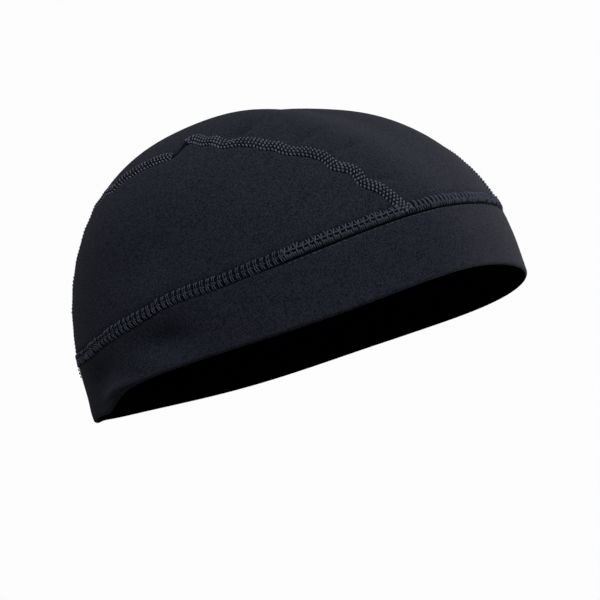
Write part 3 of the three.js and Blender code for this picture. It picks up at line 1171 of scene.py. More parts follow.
@dataclass(frozen=True)
class Rail:
    """A line on the cloth that stitches follow, with the way out of the cloth at each point."""

    points: Points
    outward: Points
    closed: bool = False

    def travelled(self) -> Points:
        """How far along the line each point lies, and last its whole length."""
        after = np.roll(self.points, -1, axis=0)
        steps = np.linalg.norm(after - self.points, axis=-1)
        return np.concatenate([[0], np.cumsum(steps)])[: len(self.points) + self.closed]

    def stitch_count(self, pitch: float) -> int:
        """How many stitches of a pitch fit along it."""
        return round(self.travelled()[-1] / pitch)

    def phase(self, at: Points, start: float, end: float, pitch: float) -> Points:
        """How many stitches along each angle lies, counted from the middle of the first.

        Args:
            at: The angles, in degrees.
            start: The angle where the line starts.
            end: The angle where it ends.
            pitch: The length of a stitch.

        Returns:
            The stitches, with their fractions.
        """
        travelled = self.travelled()
        known = np.linspace(start, end, len(travelled))
        return np.interp(at, known, travelled) / travelled[-1] * self.stitch_count(pitch) - 0.5

    def drawn_in(self, count: int, start: float = 0.0) -> Rail:
        """The line from the middle of its first stitch to the middle of its last.

        Args:
            count: How many stitches it holds.
            start: How many stitches later it starts and ends.

        Returns:
            The shorter line, or the same one if it is closed.
        """
        if self.closed:
            return self
        travelled = self.travelled()
        pitch = travelled[-1] / count
        places = np.linspace(pitch * (0.5 + start), travelled[-1] - pitch * (0.5 - start), len(self.points))
        at = [
            np.stack([np.interp(places, travelled, values[:, axis]) for axis in range(3)], axis=-1)
            for values in (self.points, self.outward)
        ]
        return Rail(at[0], unit(at[1]))


@dataclass(frozen=True)
class Stitch:
    """A stitch that Geometry Nodes set again and again along the rail of a seam."""

    name: str
    strands: tuple[Strand, ...]
    pitch: float
    length: float
    width: float
    height: float
    thread: float
    sides: int = 6
    steps: int = 7
    tilt_degrees: float = 4.0
    size_change: float = 0.06
    seed: int = 11

    def tubes(self, tree: bpy.types.NodeTree, given: bpy.types.NodeOutputs) -> Socket:
        """Add the nodes of one stitch: its strands, brought to size and given a round section.

        Args:
            tree: The tree that gets the nodes.
            given: The tree's own inputs.

        Returns:
            The stitch as a mesh.
        """
        curves = add_node(tree, "GeometryNodeJoinGeometry")
        for strand in self.strands:
            segment = add_node(
                tree,
                "GeometryNodeCurvePrimitiveBezierSegment",
                {
                    "Resolution": given["Steps"],
                    "Start": strand.start,
                    "Start Handle": strand.start_handle,
                    "End Handle": strand.end_handle,
                    "End": strand.end,
                },
                mode="POSITION",
            )
            tree.links.new(segment.outputs["Curve"], curves.inputs["Geometry"])
        size = add_node(
            tree,
            "ShaderNodeCombineXYZ",
            {"X": given["Stitch length"], "Y": given["Stitch width"], "Z": given["Stitch height"]},
        )
        sized = add_node(
            tree,
            "GeometryNodeTransform",
            {"Geometry": curves.outputs["Geometry"], "Scale": size.outputs["Vector"]},
        )
        radius = add_node(
            tree, "ShaderNodeMath", {0: given["Thread thickness"], 1: 0.5}, operation="MULTIPLY"
        )
        circle = add_node(
            tree,
            "GeometryNodeCurvePrimitiveCircle",
            {"Resolution": given["Sides"], "Radius": radius.outputs["Value"]},
            mode="RADIUS",
        )
        tube = add_node(
            tree,
            "GeometryNodeCurveToMesh",
            {
                "Curve": sized.outputs["Geometry"],
                "Profile Curve": circle.outputs["Curve"],
                "Fill Caps": True,
            },
        )
        return tube.outputs["Mesh"]

    def set_along(
        self, tree: bpy.types.NodeTree, given: bpy.types.NodeOutputs, stitch: Socket
    ) -> Socket:
        """Add the nodes that set a stitch along the rail, each with a size and a tilt of its own.

        Args:
            tree: The tree that gets the nodes.
            given: The tree's own inputs.
            stitch: One stitch.

        Returns:
            The stitches, still as instances.
        """
        line = add_node(tree, "GeometryNodeMeshToCurve", {"Mesh": given["Rail"]})
        spaced = add_node(
            tree,
            "GeometryNodeResampleCurve",
            {"Curve": line.outputs["Curve"], "Count": given["Stitch count"]},
            mode="COUNT",
        )
        outward = add_node(
            tree, "GeometryNodeInputNamedAttribute", {"Name": OUTWARD}, data_type="FLOAT_VECTOR"
        )
        tangent = add_node(tree, "GeometryNodeInputTangent")
        turned = add_node(
            tree,
            "FunctionNodeAxesToRotation",
            {"Primary Axis": outward.outputs["Attribute"], "Secondary Axis": tangent.outputs["Tangent"]},
            primary_axis="Z",
            secondary_axis="X",
        )
        small = add_node(tree, "ShaderNodeMath", {0: 1.0, 1: given["Size change"]}, operation="SUBTRACT")
        large = add_node(tree, "ShaderNodeMath", {0: 1.0, 1: given["Size change"]}, operation="ADD")
        grown = add_node(
            tree,
            "FunctionNodeRandomValue",
            {2: small.outputs["Value"], 3: large.outputs["Value"], "Seed": given["Seed"]},
            data_type="FLOAT",
        )
        placed = add_node(
            tree,
            "GeometryNodeInstanceOnPoints",
            {
                "Points": spaced.outputs["Curve"],
                "Instance": stitch,
                "Rotation": turned.outputs["Rotation"],
                "Scale": grown.outputs[1],
            },
        )
        most, least = (
            add_node(tree, "ShaderNodeVectorMath", {0: (way,) * 3, 3: given["Tilt"]}, operation="SCALE")
            for way in (1, -1)
        )
        tilt = add_node(
            tree,
            "FunctionNodeRandomValue",
            {"Min": least.outputs["Vector"], "Max": most.outputs["Vector"], "Seed": given["Seed"]},
            data_type="FLOAT_VECTOR",
        )
        tilted = add_node(
            tree,
            "GeometryNodeRotateInstances",
            {
                "Instances": placed.outputs["Instances"],
                "Rotation": tilt.outputs["Value"],
                "Local Space": True,
            },
        )
        return tilted.outputs["Instances"]

    def tree(self) -> bpy.types.NodeTree:
        """The node tree that sets the stitch along a rail and gives it its finish."""
        tree = bpy.data.node_groups.new(self.name, "GeometryNodeTree")
        face = tree.interface
        lengths = ("Stitch length", "Stitch width", "Stitch height", "Thread thickness")
        face.new_socket("Rail", in_out="INPUT", socket_type="NodeSocketGeometry")
        for name in (*lengths, "Tilt", "Size change"):
            face.new_socket(name, in_out="INPUT", socket_type="NodeSocketFloat")
        for name in ("Stitch count", "Sides", "Steps", "Seed"):
            face.new_socket(name, in_out="INPUT", socket_type="NodeSocketInt")
        face.new_socket("Finish", in_out="INPUT", socket_type="NodeSocketMaterial")
        face.new_socket("Stitches", in_out="OUTPUT", socket_type="NodeSocketGeometry")
        given = tree.nodes.new("NodeGroupInput").outputs
        stitches = self.set_along(tree, given, self.tubes(tree, given))
        real = add_node(tree, "GeometryNodeRealizeInstances", {"Geometry": stitches})
        smooth = add_node(tree, "GeometryNodeSetShadeSmooth", {"Geometry": real.outputs["Geometry"]})
        finished = add_node(
            tree,
            "GeometryNodeSetMaterial",
            {"Geometry": smooth.outputs["Geometry"], "Material": given["Finish"]},
        )
        add_node(tree, "NodeGroupOutput", {"Stitches": finished.outputs["Geometry"]})
        return tree

    def inputs(self, count: int, finish: bpy.types.Material) -> dict[str, Any]:
        """The value of each named input of the tree, in metres and radians.

        Args:
            count: How many stitches the rail holds.
            finish: The thread's material.

        Returns:
            The values, by the inputs' names.
        """
        return {
            "Stitch count": count,
            "Stitch length": self.length * MM,
            "Stitch width": self.width * MM,
            "Stitch height": self.height * MM,
            "Thread thickness": self.thread * MM,
            "Tilt": math.radians(self.tilt_degrees),
            "Size change": self.size_change,
            "Sides": self.sides,
            "Steps": self.steps,
            "Seed": self.seed,
            "Finish": finish,
        }

    def sewn(
        self, rail: Rail, count: int, finish: bpy.types.Material, start: float = 0.0
    ) -> bpy.types.Mesh:
        """Set the stitch along a rail and bake it to a plain mesh.

        Args:
            rail: The line that the stitches follow.
            count: How many stitches it holds.
            finish: The thread's material.
            start: How many stitches later the row starts.

        Returns:
            The mesh of every stitch.
        """
        carrier = piece_from("rail", rail_mesh(rail.drawn_in(count, start)))
        modifier = carrier.modifiers.new(self.name, "NODES")
        modifier.node_group = self.tree()
        values = self.inputs(count, finish)
        for item in modifier.node_group.interface.items_tree:
            if item.in_out == "INPUT" and item.name in values:
                modifier[item.identifier] = values[item.name]
        bpy.context.view_layer.update()
        graph = bpy.context.evaluated_depsgraph_get()
        made = bpy.data.meshes.new_from_object(carrier.evaluated_get(graph), depsgraph=graph)
        carrier.modifiers.remove(modifier)
        bpy.data.objects.remove(carrier)
        return made


def rail_mesh(rail: Rail) -> bpy.types.Mesh:
    """Make a mesh of edges along a rail, which holds the way out as an attribute.

    Args:
        rail: The line.

    Returns:
        The mesh, in metres.
    """
    count = len(rail.points)
    edges = [(k, k + 1) for k in range(count - 1)]
    if rail.closed:
        edges.append((count - 1, 0))
    made = bpy.data.meshes.new("rail")
    made.from_pydata((rail.points * MM).tolist(), edges, [])
    layer = made.attributes.new(OUTWARD, "FLOAT_VECTOR", "POINT")
    layer.data.foreach_set("vector", rail.outward.astype(np.float32).ravel())
    return made


def joined(name: str, meshes: list[bpy.types.Mesh]) -> bpy.types.Mesh:
    """Join meshes into one, and remove them.

    Args:
        name: The new mesh's name.
        meshes: The meshes to join, which share their materials.

    Returns:
        The whole mesh.
    """
    whole = bmesh.new()
    for mesh in meshes:
        whole.from_mesh(mesh)
    made = bpy.data.meshes.new(name)
    whole.to_mesh(made)
    whole.free()
    for material in meshes[0].materials:
        made.materials.append(material)
    for mesh in meshes:
        bpy.data.meshes.remove(mesh)
    return made


KNOT = Stitch(
    name="crown_seam_knot",
    strands=(Strand((-0.14, 0.18, -0.9), (-0.09, 0.12, 1.1), (0.09, -0.12, 1.1), (0.14, -0.18, -0.9)),),
    pitch=1.72,
    length=1.72,
    width=1.6,
    height=0.3,
    thread=0.76,
    sides=9,
    steps=6,
    tilt_degrees=10.0,
    size_change=0.12,
)

INNER_KNOT = Stitch(
    name="crown_seam_inner_loop",
    strands=(Strand((-0.5, -0.5, -0.6), (-0.2, -0.4, 1.2), (0.2, 0.4, 1.2), (0.5, 0.5, -0.6)),),
    pitch=1.72,
    length=1.7,
    width=1.2,
    height=0.4,
    thread=0.6,
    sides=4,
    steps=4,
    seed=29,
)

SIDE_LADDER = Stitch(
    name="band_seam_side_ladder",
    strands=(
        Strand((-0.14, 0.5, -0.5), (-0.18, 0.4, 1.2), (-0.3, 0.26, 1.3), (-0.34, 0.1, -0.2)),
        Strand((0.2, 0.5, -0.5), (0.16, 0.4, 1.2), (0.04, 0.26, 1.3), (0.0, 0.1, -0.2)),
        Strand((-0.5, -0.02, -0.1), (-0.4, 0.04, 1.5), (-0.26, 0.03, 1.5), (-0.14, -0.06, 0.2)),
        Strand((-0.14, -0.03, 0.0), (-0.04, 0.03, 1.4), (0.1, 0.02, 1.4), (0.22, -0.06, 0.2)),
        Strand((-0.36, -0.08, 0.4), (-0.32, -0.2, 1.4), (-0.27, -0.36, 1.3), (-0.2, -0.52, -0.6)),
        Strand((-0.04, -0.08, 0.4), (0.0, -0.2, 1.4), (0.06, -0.36, 1.3), (0.14, -0.52, -0.6)),
    ),
    pitch=2.87,
    length=2.87,
    width=5.0,
    height=0.45,
    thread=0.44,
    tilt_degrees=8.0,
    size_change=0.1,
    seed=31,
)

TEMPLE_LADDER = Stitch(
    name="band_seam_temple_ladder",
    strands=(
        Strand((-0.78, 0.49, -0.5), (-0.72, 0.34, 1.2), (-0.6, 0.14, 1.5), (-0.46, -0.04, 0.4)),
        Strand((-0.22, 0.49, -0.5), (-0.28, 0.34, 1.2), (-0.4, 0.14, 1.5), (-0.54, -0.04, 0.4)),
        Strand((-0.34, 0.17, 0.2), (-0.12, 0.09, 1.1), (0.12, 0.09, 1.1), (0.34, 0.17, 0.2)),
        Strand((-0.52, -0.04, 0.4), (-0.5, -0.16, 1.3), (-0.47, -0.28, 1.2), (-0.43, -0.42, -0.6)),
        Strand((-0.22, -0.14, 0.3), (-0.2, -0.22, 1.2), (-0.17, -0.32, 1.2), (-0.13, -0.42, -0.6)),
        Strand((0.1, -0.16, 0.3), (0.12, -0.24, 1.2), (0.15, -0.32, 1.2), (0.19, -0.42, -0.6)),
    ),
    pitch=2.69,
    length=2.69,
    width=5.0,
    height=0.45,
    thread=0.6,
    tilt_degrees=6.0,
    size_change=0.08,
    seed=37,
)

FRONT_LADDER = Stitch(
    name="band_seam_front_ladder",
    strands=(
        Strand((-0.22, 0.5, -0.6), (-0.2, 0.34, 1.5), (-0.16, 0.1, 1.5), (-0.12, -0.16, 0.4)),
        Strand((0.06, 0.5, -0.6), (0.08, 0.34, 1.4), (0.12, 0.1, 1.4), (0.16, -0.16, 0.4)),
        Strand((-0.24, -0.14, 0.3), (-0.1, -0.2, 1.5), (0.1, -0.22, 1.5), (0.26, -0.16, 0.3)),
        Strand((-0.12, -0.22, 0.3), (-0.12, -0.3, 1.2), (-0.1, -0.4, 1.1), (-0.08, -0.5, -0.6)),
        Strand((0.34, -0.16, 0.3), (0.36, -0.28, 1.2), (0.38, -0.38, 1.1), (0.4, -0.5, -0.6)),
    ),
    pitch=2.66,
    length=2.66,
    width=5.0,
    height=0.45,
    thread=0.48,
    tilt_degrees=6.0,
    size_change=0.1,
    seed=43,
)

INNER_LADDER = Stitch(
    name="band_seam_inner_ladder",
    strands=(
        Strand((-0.36, 0.5, -0.4), (-0.36, -0.5, 1.3), (0.36, -0.5, 1.3), (0.36, 0.5, -0.4)),
        Strand((-0.36, 0.02, -0.4), (-0.36, -0.9, 1.3), (0.36, -0.9, 1.3), (0.36, 0.02, -0.4)),
    ),
    pitch=2.75,
    length=2.75,
    width=5.5,
    height=0.5,
    thread=0.5,
    sides=4,
    seed=47,
)

TICK = Stitch(
    name="band_seam_tick",
    strands=(Strand((-0.5, -0.2, -0.6), (-0.2, 0.0, 1.0), (0.2, 0.1, 1.0), (0.5, 0.1, -0.6)),),
    pitch=2.69,
    length=1.1,
    width=0.6,
    height=0.3,
    thread=0.36,
    sides=5,
    steps=4,
    tilt_degrees=12.0,
    size_change=0.2,
    seed=41,
)

TAIL = Stitch(
    name="band_seam_tail",
    strands=(Strand((-0.5, -0.3, -0.8), (-0.3, 0.0, 1.3), (0.3, 0.0, 1.3), (0.5, 0.3, -0.8)),),
    pitch=1.5,
    length=1.1,
    width=0.9,
    height=0.5,
    thread=0.45,
    steps=5,
    tilt_degrees=12.0,
    size_change=0.2,
    seed=53,
)


class NeedleHole(NamedTuple):
    """Where a needle pierces each stitch's length of a seam.

    The phase is a share of the stitch's length from its middle, and across a share of the width.
    """

    phase: float
    across: float
    radius: float
    depth: float


def pierced(
    holes: tuple[NeedleHole, ...], phase: Points, across: Points, pitch: float, width: float
) -> tuple[Points, Points]:
    """How dark the needle holes' painted shade makes a bed, and how deep the holes are.

    Args:
        holes: The holes of one stitch.
        phase: How many stitches along each point lies, counted from the middle of the first.
        across: The share of the width at each point.
        pitch: The length of a stitch.
        width: The seam's width.

    Returns:
        A darkness from 0 to 1 and a depth for each point.
    """
    dark = np.zeros(np.broadcast(phase, across).shape)
    deep = np.zeros_like(dark)
    for hole in holes:
        turn = phase - hole.phase
        along = (turn - np.round(turn)) * pitch
        aside = (across - hole.across) * width
        share = np.exp(-((along**2 + aside**2) / hole.radius**2) ** HOLE_EDGE)
        dark = np.maximum(dark, share)
        deep = np.maximum(deep, hole.depth * share)
    return dark, deep


class BandStretch(NamedTuple):
    """A stretch of the band's seam between two bearings in degrees, its stitch and its needle holes."""

    start: float
    end: float
    stitch: Stitch
    holes: tuple[NeedleHole, ...]


SIDE_HOLES = (
    NeedleHole(0.44, 0.27, 0.6, 0.45),
    NeedleHole(-0.17, 0.56, 0.3, 0.25),
    NeedleHole(0.14, 0.56, 0.3, 0.25),
    NeedleHole(0.46, 0.56, 0.36, 0.3),
    NeedleHole(0.46, 0.8, 0.4, 0.3),
)
TEMPLE_HOLES = (NeedleHole(0.0, 0.44, 0.32, 0.35), NeedleHole(0.0, 0.8, 0.26, 0.2))
FRONT_HOLES = (
    NeedleHole(0.46, 0.58, 0.42, 0.4),
    NeedleHole(0.44, 0.78, 0.42, 0.4),
    NeedleHole(0.12, 0.16, 0.36, 0.4),
    NeedleHole(0.62, 0.16, 0.36, 0.4),
)
BAND_STRETCHES = (
    BandStretch(-57.5, -26.0, TEMPLE_LADDER, TEMPLE_HOLES),
    BandStretch(-26.0, 26.0, FRONT_LADDER, FRONT_HOLES),
    BandStretch(26.0, 57.5, TEMPLE_LADDER, TEMPLE_HOLES),
    BandStretch(57.5, 302.5, SIDE_LADDER, SIDE_HOLES),
)


@dataclass(frozen=True)
class FlatSeam:
    """What the flat seams share: a rounded bed of pressed cloth that stands out on both faces."""

    form: CapForm
    rise: float = 0.3
    underside: float = 0.5
    sunk: float = 0.35
    cloth: float = 1.2
    squareness: float = 4.0
    steps_across: int = 16

    def rounded(self, across: Points) -> Points:
        """The share of its height that a bed has at a share of its width from its middle."""
        return (1 - np.abs(2 * across) ** self.squareness) ** 0.5

    def bed_mesh(
        self, name: str, lines: list[Points], over: Points, dark: Points, ring: bool, finishes: Finishes
    ) -> bpy.types.Mesh:
        """Make the mesh of a bed.

        Args:
            name: The mesh's name.
            lines: The directions along each of its lines, from one edge to the other.
            over: How far its top stands out of the cloth, for each point of each line.
            dark: How dark the painted shade of needle holes and edges makes it there.
            ring: True if the seam closes on itself.
            finishes: The cap's materials.

        Returns:
            The mesh, with the painted shade of its needle holes and edges marked.
        """
        rounded = self.rounded(np.linspace(-0.5, 0.5, len(lines)))
        under = (-self.cloth - self.underside * rounded)[None] + 0 * over
        outer = [self.form.cloth_points(line, over[:, k]) for k, line in enumerate(lines)]
        inner = [self.form.cloth_points(line, under[:, k]) for k, line in enumerate(lines)]
        sections = np.stack(outer + inner[::-1], axis=1)
        marks = np.concatenate([dark, 0 * dark], axis=1)
        shell = Shell(sections, ring=ring, inner_from=len(lines), holes=marks)
        return shell.mesh(name, finishes.bed, finishes.inside)


@dataclass(frozen=True)
class CrownSeam(FlatSeam):
    """A flat seam beside the centre panel: a raised bed of pressed cloth under four rows of knots."""

    side: SeamSide = RIGHT
    rise: float = 0.5
    roundness: float = 2.6
    steps_along: int = 1100
    steps_across: int = 20
    rows: tuple[float, ...] = (-0.45, -0.15, 0.15, 0.45)
    late: tuple[float, ...] = (0.0, 0.5, 0.0, 0.5)
    hole_radius: float = 0.4
    hole_depth: float = 0.35
    thread_tuck: float = 4.6
    climb: float = 0.5
    knots_sunk: float = 0.15
    sunk_behind_tuck: float = 0.13
    hidden_ahead: float = 0.8
    hidden_behind: float = 2.2

    @property
    def label(self) -> str:
        """The seam's name without its ending."""
        return f"crown_seam_{self.side.name.value}"

    def ends(self, tuck_in: float) -> tuple[float, float]:
        """The arcs where the seam's middle line ends, a length under the top edge of the band's seam."""
        return (
            self.form.arc_at_band(self.side, 0.0, 0.0, tuck_in, ahead=True),
            self.form.arc_at_band(self.side, 0.0, 0.0, tuck_in, ahead=False),
        )

    def stretches(self) -> list[tuple[float, float]]:
        """The arcs between which knots show: all along, but for the tuck, which swallows them."""
        first, last = self.ends(self.thread_tuck)
        if self.side.tuck_pinch == 0:
            return [(first, last)]
        tuck = self.form.tuck_arc
        return [(first, tuck - self.hidden_ahead), (tuck + self.hidden_behind, last)]

    def place(self, arc: Points, across: float) -> Points:
        """Directions along the seam at a share of its width across."""
        return self.form.beside_seam(self.side, arc, np.full(len(arc), across))

    def lift(self, across: Points | float) -> Points | float:
        """How far the rounded bed stands out of the cloth at a share of its width across."""
        return -self.sunk + (self.rise + self.sunk) * (1 - np.abs(2 * across) ** self.roundness) ** 0.5

    def knot_rail(self, across: float, start: float, end: float) -> Rail:
        """A line for knots between two arcs, which lean out to the side as the bed does there.

        Args:
            across: A share of the seam's width, towards the ear.
            start: The arc where it starts. Behind the tuck, the knots are sunk deeper.
            end: The arc where it ends.

        Returns:
            The line.
        """
        sunk = self.knots_sunk + (self.sunk_behind_tuck if start > self.form.tuck_arc else 0)
        rail = self.rail(across, self.lift(across) - sunk, start, end)
        step = 0.02
        apart = 2 * step * self.form.crown_seam_width
        fall = (self.lift(across - step) - self.lift(across + step)) / apart
        along = np.gradient(rail.points, axis=0)
        to_ear = unit(np.cross(rail.outward, along)) * -self.side.sign
        return Rail(rail.points, unit(rail.outward + fall * to_ear))

    def rail(self, across: float, offset: float, start: float, end: float) -> Rail:
        """A line for stitches between two arcs.

        Args:
            across: A share of the seam's width, towards the ear.
            offset: How far outside the cloth's outer face.
            start: The arc where it starts.
            end: The arc where it ends.

        Returns:
            The line, which climbs a little where it runs in under the band's seam.
        """
        steps = round(self.steps_along / 2 * (end - start) / HALF_TURN)
        directions = self.place(np.linspace(start, end, steps + 1), across)
        inside = offset < -self.cloth / 2
        run_in = np.clip(-self.form.above_band_seam(directions), 0, 1)
        points = self.form.cloth_points(directions, offset + run_in * (0 if inside else self.climb))
        normals = self.form.normals(directions)
        return Rail(points, -normals if inside else normals)

    def marks(self, arc: Points, across: Points) -> tuple[Points, Points]:
        """How dark the needle holes' painted shade is, and how deep the holes are.

        Args:
            arc: The arcs in degrees.
            across: Shares of the seam's width, towards the ear.

        Returns:
            A darkness from 0 to 1 and a depth, for each arc and share.
        """
        dark = np.zeros((len(arc), len(across)))
        deep = np.zeros_like(dark)
        holes = tuple(
            NeedleHole(late + 0.5, row, self.hole_radius, self.hole_depth)
            for row, late in zip(self.rows, self.late)
        )
        for start, end in self.stretches():
            phase = self.rail(0.0, 0.0, start, end).phase(arc, start, end, KNOT.pitch)
            here = pierced(holes, phase[:, None], across[None], KNOT.pitch, self.form.crown_seam_width)
            within = ((arc >= start) & (arc <= end))[:, None]
            dark = np.where(within, here[0], dark)
            deep = np.where(within, here[1], deep)
        return dark, deep

    def bed(self, finishes: Finishes) -> bpy.types.Object:
        """Make the raised bed, pierced between the knots, and dress it.

        Args:
            finishes: The cap's materials.

        Returns:
            The finished piece.
        """
        arc = np.linspace(*self.ends(TUCKED_IN), self.steps_along + 1)
        across = np.linspace(-0.5, 0.5, self.steps_across + 1)
        dark, deep = self.marks(arc, across)
        lines = [self.place(arc, at) for at in across]
        name = f"{self.label}_bed"
        mesh = self.bed_mesh(name, lines, self.lift(across)[None] - deep, dark, False, finishes)
        made = piece_from(name, mesh)
        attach(made, BODY)
        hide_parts(self.label)
        return made

    def threads(self, finishes: Finishes) -> bpy.types.Object:
        """Sew the four rows of knots.

        Args:
            finishes: The cap's materials.

        Returns:
            The finished piece.
        """
        sewn = []
        for start, end in self.stretches():
            count = self.rail(0.0, 0.0, start, end).stitch_count(KNOT.pitch)
            sewn += [
                KNOT.sewn(self.knot_rail(at, start, end), count - 1, finishes.knot_thread, late)
                for at, late in zip(self.rows, self.late)
            ]
        made = piece_from(f"{self.label}_threads", joined(f"{self.label}_threads", sewn))
        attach(made, BODY)
        return made

    def inner_threads(self, finishes: Finishes) -> bpy.types.Object:
        """Sew the rows of loops that show on the inner face.

        Args:
            finishes: The cap's materials.

        Returns:
            The finished piece.
        """
        start, end = self.ends(TUCKED_IN)
        offset = -self.cloth - self.underside
        count = self.rail(0.0, offset, start, end).stitch_count(INNER_KNOT.pitch)
        name = f"{self.label}_threads_inside"
        sewn = [
            INNER_KNOT.sewn(self.rail(at, offset, start, end), count, finishes.inner_thread)
            for at in self.rows
        ]
        made = piece_from(name, joined(name, sewn))
        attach(made, BODY)
        return made


@dataclass(frozen=True)
class BandSeam(FlatSeam):
    """The flat seam round the top of the band, with its ladders of thread loops."""

    groove: float = 0.12
    groove_reach: float = 0.1
    steps_round: int = 1900
    rail_steps: int = 720
    ticks_between: tuple[float, float] = (-58.0, 58.0)
    ticks_across: float = -0.14
    ticks_offset: float = 0.05
    # How far up the seam's lower edge the painted shadow line reaches in front, as a share of its width.
    painted_shadow_edge: float = 0.07
    tail_bearing: float = -148.0
    tail_top: float = 3.0
    tail_length: float = 7.5
    tail_steps: int = 20
    pressed: float = 0.32
    pressed_from: float = 112.0
    pressed_fade: float = 20.0

    def ring(self, share: float, start: float = 0.0, end: float = FULL_TURN) -> Points:
        """Directions round the cap at a share of the seam's width, between two bearings in degrees."""
        whole = end - start == FULL_TURN
        steps = round(self.rail_steps * (end - start) / FULL_TURN)
        return self.at(np.linspace(start, end, steps, endpoint=not whole), share)

    def at(self, bearing: Points, share: float) -> Points:
        """Directions at bearings in degrees, at a share of the seam's width above its lower edge."""
        turn = np.radians(bearing)
        return self.form.towards(turn, self.form.band_seam_bottom(turn) + share * self.form.band_seam_width)

    def rail(self, share: float, offset: float, start: float = 0.0, end: float = FULL_TURN) -> Rail:
        """A line for stitches between two bearings in degrees.

        Args:
            share: A share of the seam's width, up from its lower edge.
            offset: How far outside the cloth's outer face. Behind the ears, threads are pressed in.
            start: The bearing where it starts.
            end: The bearing where it ends.

        Returns:
            The line.
        """
        directions = self.ring(share, start, end)
        inside = offset < -self.cloth / 2
        behind = (np.abs(np.degrees(self.form.bearing(directions))) - self.pressed_from) / self.pressed_fade
        press = 0 if inside else self.pressed
        points = self.form.cloth_points(directions, offset - press * np.clip(behind, 0, 1))
        normals = self.form.normals(directions)
        return Rail(points, -normals if inside else normals, closed=end - start == FULL_TURN)

    def marks(self, bearing: Points, across: Points) -> tuple[Points, Points]:
        """How dark the painted shade of the needle holes and the painted shadow line along the lower edge
        are, and how deep the holes are.

        Args:
            bearing: The bearings in degrees.
            across: Shares of the seam's width, upwards.

        Returns:
            A darkness from 0 to 1 and a depth, for each bearing and share.
        """
        dark = np.zeros((len(bearing), len(across)))
        deep = np.zeros_like(dark)
        for part in BAND_STRETCHES:
            turn = bearing + FULL_TURN * np.round(((part.start + part.end) / 2 - bearing) / FULL_TURN)
            within = (turn >= part.start) & (turn < part.end)
            pitch = part.stitch.pitch
            rail = self.rail(0.5, 0.0, part.start, part.end)
            phase = rail.phase(turn, part.start, part.end, pitch)
            here = pierced(part.holes, phase[:, None], across[None], pitch, self.form.band_seam_width)
            dark = np.where(within[:, None], here[0], dark)
            deep = np.where(within[:, None], here[1], deep)
        first, last = self.ticks_between
        turn = bearing - FULL_TURN * np.round(bearing / FULL_TURN)
        tight = ((turn > first) & (turn < last))[:, None]
        # Painted shadow line along the lower edge, where the seam stands off the band: fully dark over half
        # of the edge's width, then fading.
        edge = np.clip(2 * (1 - across / self.painted_shadow_edge), 0, 1)[None]
        return np.where(tight, np.maximum(dark, edge), dark), deep

    def tail(self) -> Rail:
        """The short upright line of thread ends below the seam, where its sewing closes behind."""
        turn = np.full(self.tail_steps, math.radians(self.tail_bearing))
        top = self.form.band_seam_bottom(turn) + self.tail_top
        directions = self.form.towards(turn, top - self.tail_length * np.linspace(0, 1, self.tail_steps))
        return Rail(self.form.cloth_points(directions, self.rise), self.form.normals(directions))

    def bed(self, finishes: Finishes) -> bpy.types.Object:
        """Make the raised bed, pierced by the needles and grooved midway, and dress it.

        Args:
            finishes: The cap's materials.

        Returns:
            The finished piece.
        """
        bearing = np.linspace(0, FULL_TURN, self.steps_round, endpoint=False)
        across = np.linspace(0, 1, self.steps_across + 1)
        groove = self.groove * np.exp(-(((across - 0.5) / self.groove_reach) ** 2))
        top = -self.sunk + (self.rise + self.sunk) * self.rounded(across - 0.5) - groove
        dark, deep = self.marks(bearing, across)
        lines = [self.at(bearing, share) for share in across]
        mesh = self.bed_mesh("band_seam_bed", lines, top[None] - deep, dark, True, finishes)
        made = piece_from("band_seam_bed", mesh)
        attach(made, BODY)
        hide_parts("band_seam")
        return made

    def threads(self, finishes: Finishes) -> bpy.types.Object:
        """Sew the ladders of loops, the row of ticks below them and the tail behind.

        Args:
            finishes: The cap's materials.

        Returns:
            The finished piece.
        """
        sewn = []
        for part in BAND_STRETCHES:
            rail = self.rail(0.5, self.rise, part.start, part.end)
            sewn.append(part.stitch.sewn(rail, rail.stitch_count(part.stitch.pitch), finishes.thread))
        ticks = self.rail(self.ticks_across, self.ticks_offset, *self.ticks_between)
        sewn.append(TICK.sewn(ticks, ticks.stitch_count(TICK.pitch), finishes.thread))
        sewn.append(TAIL.sewn(self.tail(), self.tail().stitch_count(TAIL.pitch), finishes.thread))
        made = piece_from("band_seam_threads", joined("band_seam_threads", sewn))
        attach(made, BODY)
        return made

    def inner_threads(self, finishes: Finishes) -> bpy.types.Object:
        """Sew the ladder that shows on the inner face.

        Args:
            finishes: The cap's materials.

        Returns:
            The finished piece.
        """
        rail = self.rail(0.5, -self.cloth - self.underside)
        sewn = INNER_LADDER.sewn(rail, rail.stitch_count(INNER_LADDER.pitch), finishes.inner_thread)
        made = piece_from("band_seam_threads_inside", sewn)
        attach(made, BODY)
        return made


